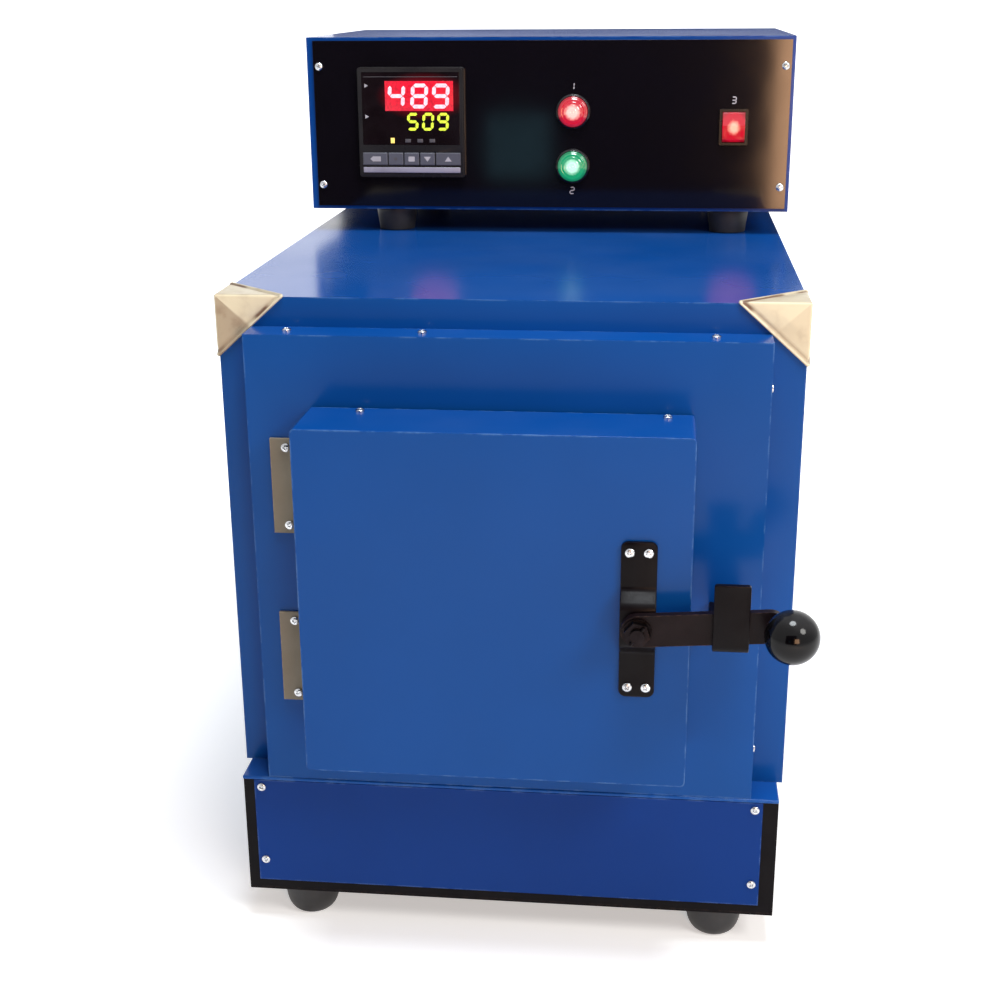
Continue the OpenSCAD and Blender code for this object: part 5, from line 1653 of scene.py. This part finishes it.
@dataclass
class ControlBox:
    """The control box: case, panel, lamps, switch, feet and relay."""

    lens_rings: int = 5
    rib_height: float = 0.2 * MM
    rib_reach: float = 0.93
    lens_rim: float = 0.5
    lens_dome: float = 0.47
    barrel: float = 11 * MM
    barrel_depth: float = 33.9 * MM
    foot_hole: tuple[float, float] = (5 * MM, 2 * MM)
    foot_taper: float = 2.4 * MM
    number_places: tuple[tuple[float, float], ...] = ((0.0263, 0.6410), (0.0271, 0.5500),
                                                      (0.1686, 0.6290))
    number_size: tuple[float, float] = (4.4 * MM, 6.4 * MM)
    number_stroke: float = 0.95 * MM

    def build(self) -> None:
        """Makes and dresses the box and what is on its panel."""
        eased_copy("control_case", Palette.box, 0.4 * MM, 1.6 * MM, "", 3)
        eased_copy("control_panel", Palette.panel, 0.4 * MM, 0.7 * MM, "+y")
        Screws("panel_screws", Palette.screw).build()
        self.feet()
        self.bezels()
        self.lens("lens_red", (205, 14, 44), (255, 232, 218))
        self.lens("lens_green", (22, 158, 104), (226, 255, 240))
        self.switch()
        self.relay()
        display = Display()
        display.build()
        self.numbers(display)

    def numbers(self, display: "Display") -> None:
        """Plain numbers beside the lamps and the switch, as thin prints on the panel."""
        face = corners("control_panel")[0][1]
        prints = [display.digit(figure, x, z, self.number_size, self.number_stroke,
                                face - 2 * display.proud)
                  for figure, (x, z) in zip("123", self.number_places)]
        placed(mesh_object("panel_numbers", joined(prints)), Palette.mark, "control_panel")

    def feet(self) -> None:
        """Round feet between the box and the furnace: a soft-cornered profile, turned."""
        parts = []
        for low, high in islands("control_feet"):
            middle, radius = (low + high) / 2, (high[0] - low[0]) / 2
            height = corners("control_case")[0][2] - low[2]
            hole, depth = self.foot_hole
            profile = softened(np.array([
                [0, depth], [hole, depth], [hole, 0], [radius - self.foot_taper, 0],
                [radius, height - 3 * MM], [radius - 0.6 * MM, height], [0, height]]), 1.2 * MM)
            parts.append(lathed(profile, (middle[0], middle[1], low[2]), (0, 0, 1), 48))
        piece = mesh_object("box_feet", joined(parts), 50.0)
        placed(piece, Palette.rubber, "control_feet", ["control_feet"])

    def bezels(self) -> None:
        """Each lamp's ring and barrel: a soft-cornered profile, turned."""
        parts = []
        lens_low, lens_high = corners("lens_red")
        lens = (lens_high[0] - lens_low[0]) / 2
        panel_front = corners("control_panel")[0][1]
        for low, high in islands("lamp_bezels"):
            middle, radius = (low + high) / 2, (high[0] - low[0]) / 2
            out = panel_front - low[1]
            profile = softened(np.array([
                [0, -self.barrel_depth], [self.barrel, -self.barrel_depth],
                [self.barrel, 0.02 * MM],
                [radius, 0.02 * MM], [radius, 0.55 * out], [radius - 0.9 * MM, 0.85 * out],
                [lens + 0.6 * MM, out - 0.05 * MM], [lens + 0.15 * MM, 0.85 * out],
                [lens + 0.15 * MM, 0.3 * MM], [0, 0.3 * MM]]), 0.35 * MM)
            parts.append(lathed(profile, (middle[0], panel_front, middle[2]), (0, -1, 0), 64))
        piece = mesh_object("lamp_rings", joined(parts), 45.0)
        placed(piece, Palette.bezel, "lamp_bezels", ["lamp_bezels"])

    def lens(self, node: str, rim: Colour, heart: Colour) -> None:
        """A ribbed lens: height = dome + a small wave with the distance from the middle."""
        low, high = corners(node)
        radius, back, front = (high[0] - low[0]) / 2, high[1], low[1]
        middle = (low + high) / 2
        share = np.linspace(0, 1, 61)
        out = back - front
        arch = np.sqrt(np.clip(1 - (0.985 * share) ** 2, 0, 1))
        dome = out * (self.lens_rim + self.lens_dome * arch)
        wave = np.cos(share * self.lens_rings * FULL_TURN) * np.clip(share * 6, 0, 1)
        wave *= self.rib_height * (share < self.rib_reach)
        height = np.minimum(dome + wave, out)
        skin = np.stack([share * (radius - 0.05 * MM), height], -1)
        wall = np.array([[radius - 0.05 * MM, 0.0], [0.0, 0.0]])
        surface = lathed(np.concatenate([skin, wall]), (middle[0], back, middle[2]), (0, -1, 0),
                         64)
        finish = Glow(node + "_glow", rim=rim, heart=heart,
                      middle=(float(middle[0]), float(middle[1]), float(middle[2])),
                      reach=(radius, radius))
        placed(mesh_object(node + "_ribbed", surface, 60.0), finish, node, [node])

    def switch(self) -> None:
        """The switch's shell, and its lit rocker."""
        eased_copy("switch_frame", Palette.switch, 0.4 * MM, 0.9 * MM, "+y")
        low, high = corners("switch_rocker")
        middle = (low + high) / 2
        finish = Glow("rocker_glow", rim=(206, 10, 40), heart=(255, 226, 190),
                      middle=(float(middle[0]), float(low[1]), float(middle[2])),
                      reach=(0.0125, 0.0150), strength=0.85, core=0.16)
        eased_copy("switch_rocker", finish, 0.5 * MM)

    def relay(self) -> None:
        """The relay and its heat sink, inside the box."""
        eased_copy("power_relay", Palette.aluminium, 0.3 * MM)


@dataclass(frozen=True)
class Lamp:
    """An area lamp: its size is in metres, its power in watts."""

    name: str
    place: tuple[float, float, float]
    target: tuple[float, float, float]
    size: float
    power: float
    colour: tuple[float, float, float]
    shape: str = "DISK"
    seen: bool = True


@dataclass
class Studio:
    """The floor with its backdrop, the lamps, the dark flags, the pale world and the camera.

    The cabinet's top mirrors the two spill lamps as the faint red of the lit display and
    switch. They hang in front of the panel, and the camera doesn't see them.
    """

    camera_place: tuple[float, float, float] = (0.10875, -1.28957, 0.71958)
    yaw: float = math.radians(6.167)
    pitch: float = math.radians(18.58)
    roll: float = math.radians(-0.389)
    focal: float = 1508.8 / 1000 * 36.0
    surround: float = 0.15
    lit_share: float = 0.5
    floor_glow: float = 0.45
    glow_from: float = 0.3
    glow_full: float = 1.3
    flags: tuple[tuple[str, tuple[float, ...], tuple[float, ...]], ...] = (
        ("front_flag", (-0.85, -2.0, 0.1), (0.6, -2.0, 1.3)),
        ("rear_flag", (-0.36, 0.9, 0.44), (0.32, 0.9, 0.8)))
    lamps: tuple[Lamp, ...] = (
        Lamp("key", (1.3, -1.2, 1.5), (0.0, -0.2, 0.35), 0.7, 20.0, (1.0, 0.98, 0.95)),
        Lamp("warm_card", (0.56, -1.75, 0.50), (0.2, -0.1, 0.55), 0.46, 9.0, (1.0, 0.56, 0.31),
             "SQUARE"),
        Lamp("ceiling", (0.15, -0.55, 2.1), (0.0, -0.2, 0.35), 0.7, 34.0, (0.9, 0.96, 1.0)),
        Lamp("cool_card", (-0.19, -1.7, 0.42), (0.0, 0.1, 0.6), 0.13, 0.035, (0.3, 0.8, 1.0),
             "SQUARE"),
        Lamp("display_spill", (-0.089, 0.02, 0.566), (-0.089, -0.4, 0.486), 0.044, 0.0024,
             (1.0, 0.05, 0.22), seen=False),
        Lamp("switch_spill", (0.170, 0.02, 0.560), (0.170, -0.4, 0.480), 0.044, 0.0024,
             (1.0, 0.05, 0.22), seen=False))

    def build(self) -> None:
        """Sets up everything round the furnace."""
        self.backdrop()
        self.world()
        for flag in self.flags:
            self.flag(*flag)
        for lamp in self.lamps:
            self.light(lamp)
        self.camera()
        bpy.context.scene.view_settings.view_transform = "Standard"

    def backdrop(self) -> None:
        """A pale floor that curves up into a wall behind, in one sheet.

        The outline is a line, a quarter circle and a line; far parts glow so that they look
        white, and light the furnace by a share of that.
        """
        bend = np.linspace(0, math.pi / 2, 16)
        radius, rear, height, half = 1.0, 1.8, 3.4, 4.0
        outline = np.concatenate([
            [[-half, 0.0]],
            np.stack([rear + radius * np.sin(bend), radius * (1 - np.cos(bend))], -1),
            [[rear + radius, height]]])
        rows = np.stack([np.column_stack([np.full(len(outline), x), outline])
                         for x in (-half, half)], 1)
        piece = mesh_object("studio_backdrop", grid_surface(rows), 60.0)
        made, graph, shader = new_material("studio_backdrop")
        shader.inputs["Base Color"].default_value = (0.9, 0.9, 0.9, 1.0)
        shader.inputs["Roughness"].default_value = 0.85
        shader.inputs["Specular IOR Level"].default_value = 0.05
        far = graph.node("VectorMath", {"operation": "LENGTH"}, i0=place_of(graph))
        glow = graph.ranged(far.outputs["Value"], self.glow_from, self.glow_full,
                            self.floor_glow, 1.0)
        share = graph.ranged(self.shown(graph), 0.0, 1.0, self.lit_share, 1.0)
        shader.inputs["Emission Color"].default_value = (1.0, 1.0, 1.0, 1.0)
        graph.feed(shader.inputs["Emission Strength"], graph.maths("MULTIPLY", glow, share))
        piece.data.materials.append(made)

    def world(self) -> None:
        """Even dim light from all sides, in front of plain white."""
        world = bpy.data.worlds.new("studio")
        bpy.context.scene.world = world
        world.use_nodes = True
        graph = Graph(world.node_tree)
        back = world.node_tree.nodes["Background"]
        back.inputs["Color"].default_value = (1.0, 1.0, 1.0, 1.0)
        graph.feed(back.inputs["Strength"],
                   graph.ranged(self.shown(graph), 0.0, 1.0, self.surround, 1.0))

    def shown(self, graph: Graph) -> bpy.types.NodeSocket:
        """1 for rays of the camera, of a mirror image or through glass, otherwise 0."""
        kinds = graph.node("LightPath").outputs
        mirrored = graph.maths("MAXIMUM", kinds["Is Glossy Ray"], kinds["Is Transmission Ray"])
        return graph.maths("MAXIMUM", kinds["Is Camera Ray"], mirrored)

    def flag(self, name: str, low: Sequence[float], high: Sequence[float]) -> None:
        """A dark upright card that only mirror images show, as in a photographer's studio."""
        across, up = np.meshgrid((low[0], high[0]), (low[2], high[2]))
        piece = mesh_object(name, grid_surface(np.stack([across, np.full((2, 2), low[1]), up], -1)))
        made, _, shader = new_material(name)
        shader.inputs["Base Color"].default_value = (0.02, 0.02, 0.025, 1.0)
        shader.inputs["Specular IOR Level"].default_value = 0.0
        shader.inputs["Roughness"].default_value = 1.0
        piece.data.materials.append(made)
        piece.visible_camera = False
        piece.visible_diffuse = False
        piece.visible_shadow = False

    def light(self, lamp: Lamp) -> None:
        """Sets up a soft lamp, turned to its target."""
        light = bpy.data.lights.new(lamp.name, "AREA")
        light.shape = lamp.shape
        light.size = lamp.size
        light.energy = lamp.power
        light.color = lamp.colour
        made = linked(lamp.name, light)
        ahead = np.asarray(lamp.target) - np.asarray(lamp.place)
        made.matrix_world = self.looking(lamp.place, ahead, 0.0)
        made.visible_camera = lamp.seen

    def looking(self, place: Sequence[float], ahead: Array, roll: float) -> Matrix:
        """The matrix of something at a place that looks ahead along its own -z."""
        ahead = np.asarray(ahead, float) / np.linalg.norm(ahead)
        right = np.cross(ahead, [0.0, 0.0, 1.0])
        right /= np.linalg.norm(right)
        up = np.cross(right, ahead)
        across = math.cos(roll) * right + math.sin(roll) * up
        rise = -math.sin(roll) * right + math.cos(roll) * up
        turn = np.stack([across, rise, -ahead], 1)
        matrix = np.eye(4)
        matrix[:3, :3] = turn
        matrix[:3, 3] = place
        return Matrix(matrix.tolist())

    def camera(self) -> None:
        """The camera, a little right of the furnace's middle and above it."""
        data = bpy.data.cameras.new("camera")
        data.sensor_width = 36.0
        data.lens = self.focal
        data.clip_end = 50.0
        made = linked("camera", data)
        ahead = np.array([-math.sin(self.yaw) * math.cos(self.pitch),
                          math.cos(self.yaw) * math.cos(self.pitch), -math.sin(self.pitch)])
        made.matrix_world = self.looking(self.camera_place, ahead, self.roll)
        bpy.context.scene.camera = made


def main() -> None:
    """Builds the studio and then each sub-assembly."""
    logging.basicConfig(level=logging.INFO, format="%(name)s: %(message)s")
    for assembly in (Studio(), Plinth(), Cabinet(), Chamber(), Hinges(), Door(), Latch(),
                     ControlBox()):
        assembly.build()
        log.info("%s is done", type(assembly).__name__)


if __name__ == "__main__":
    main()
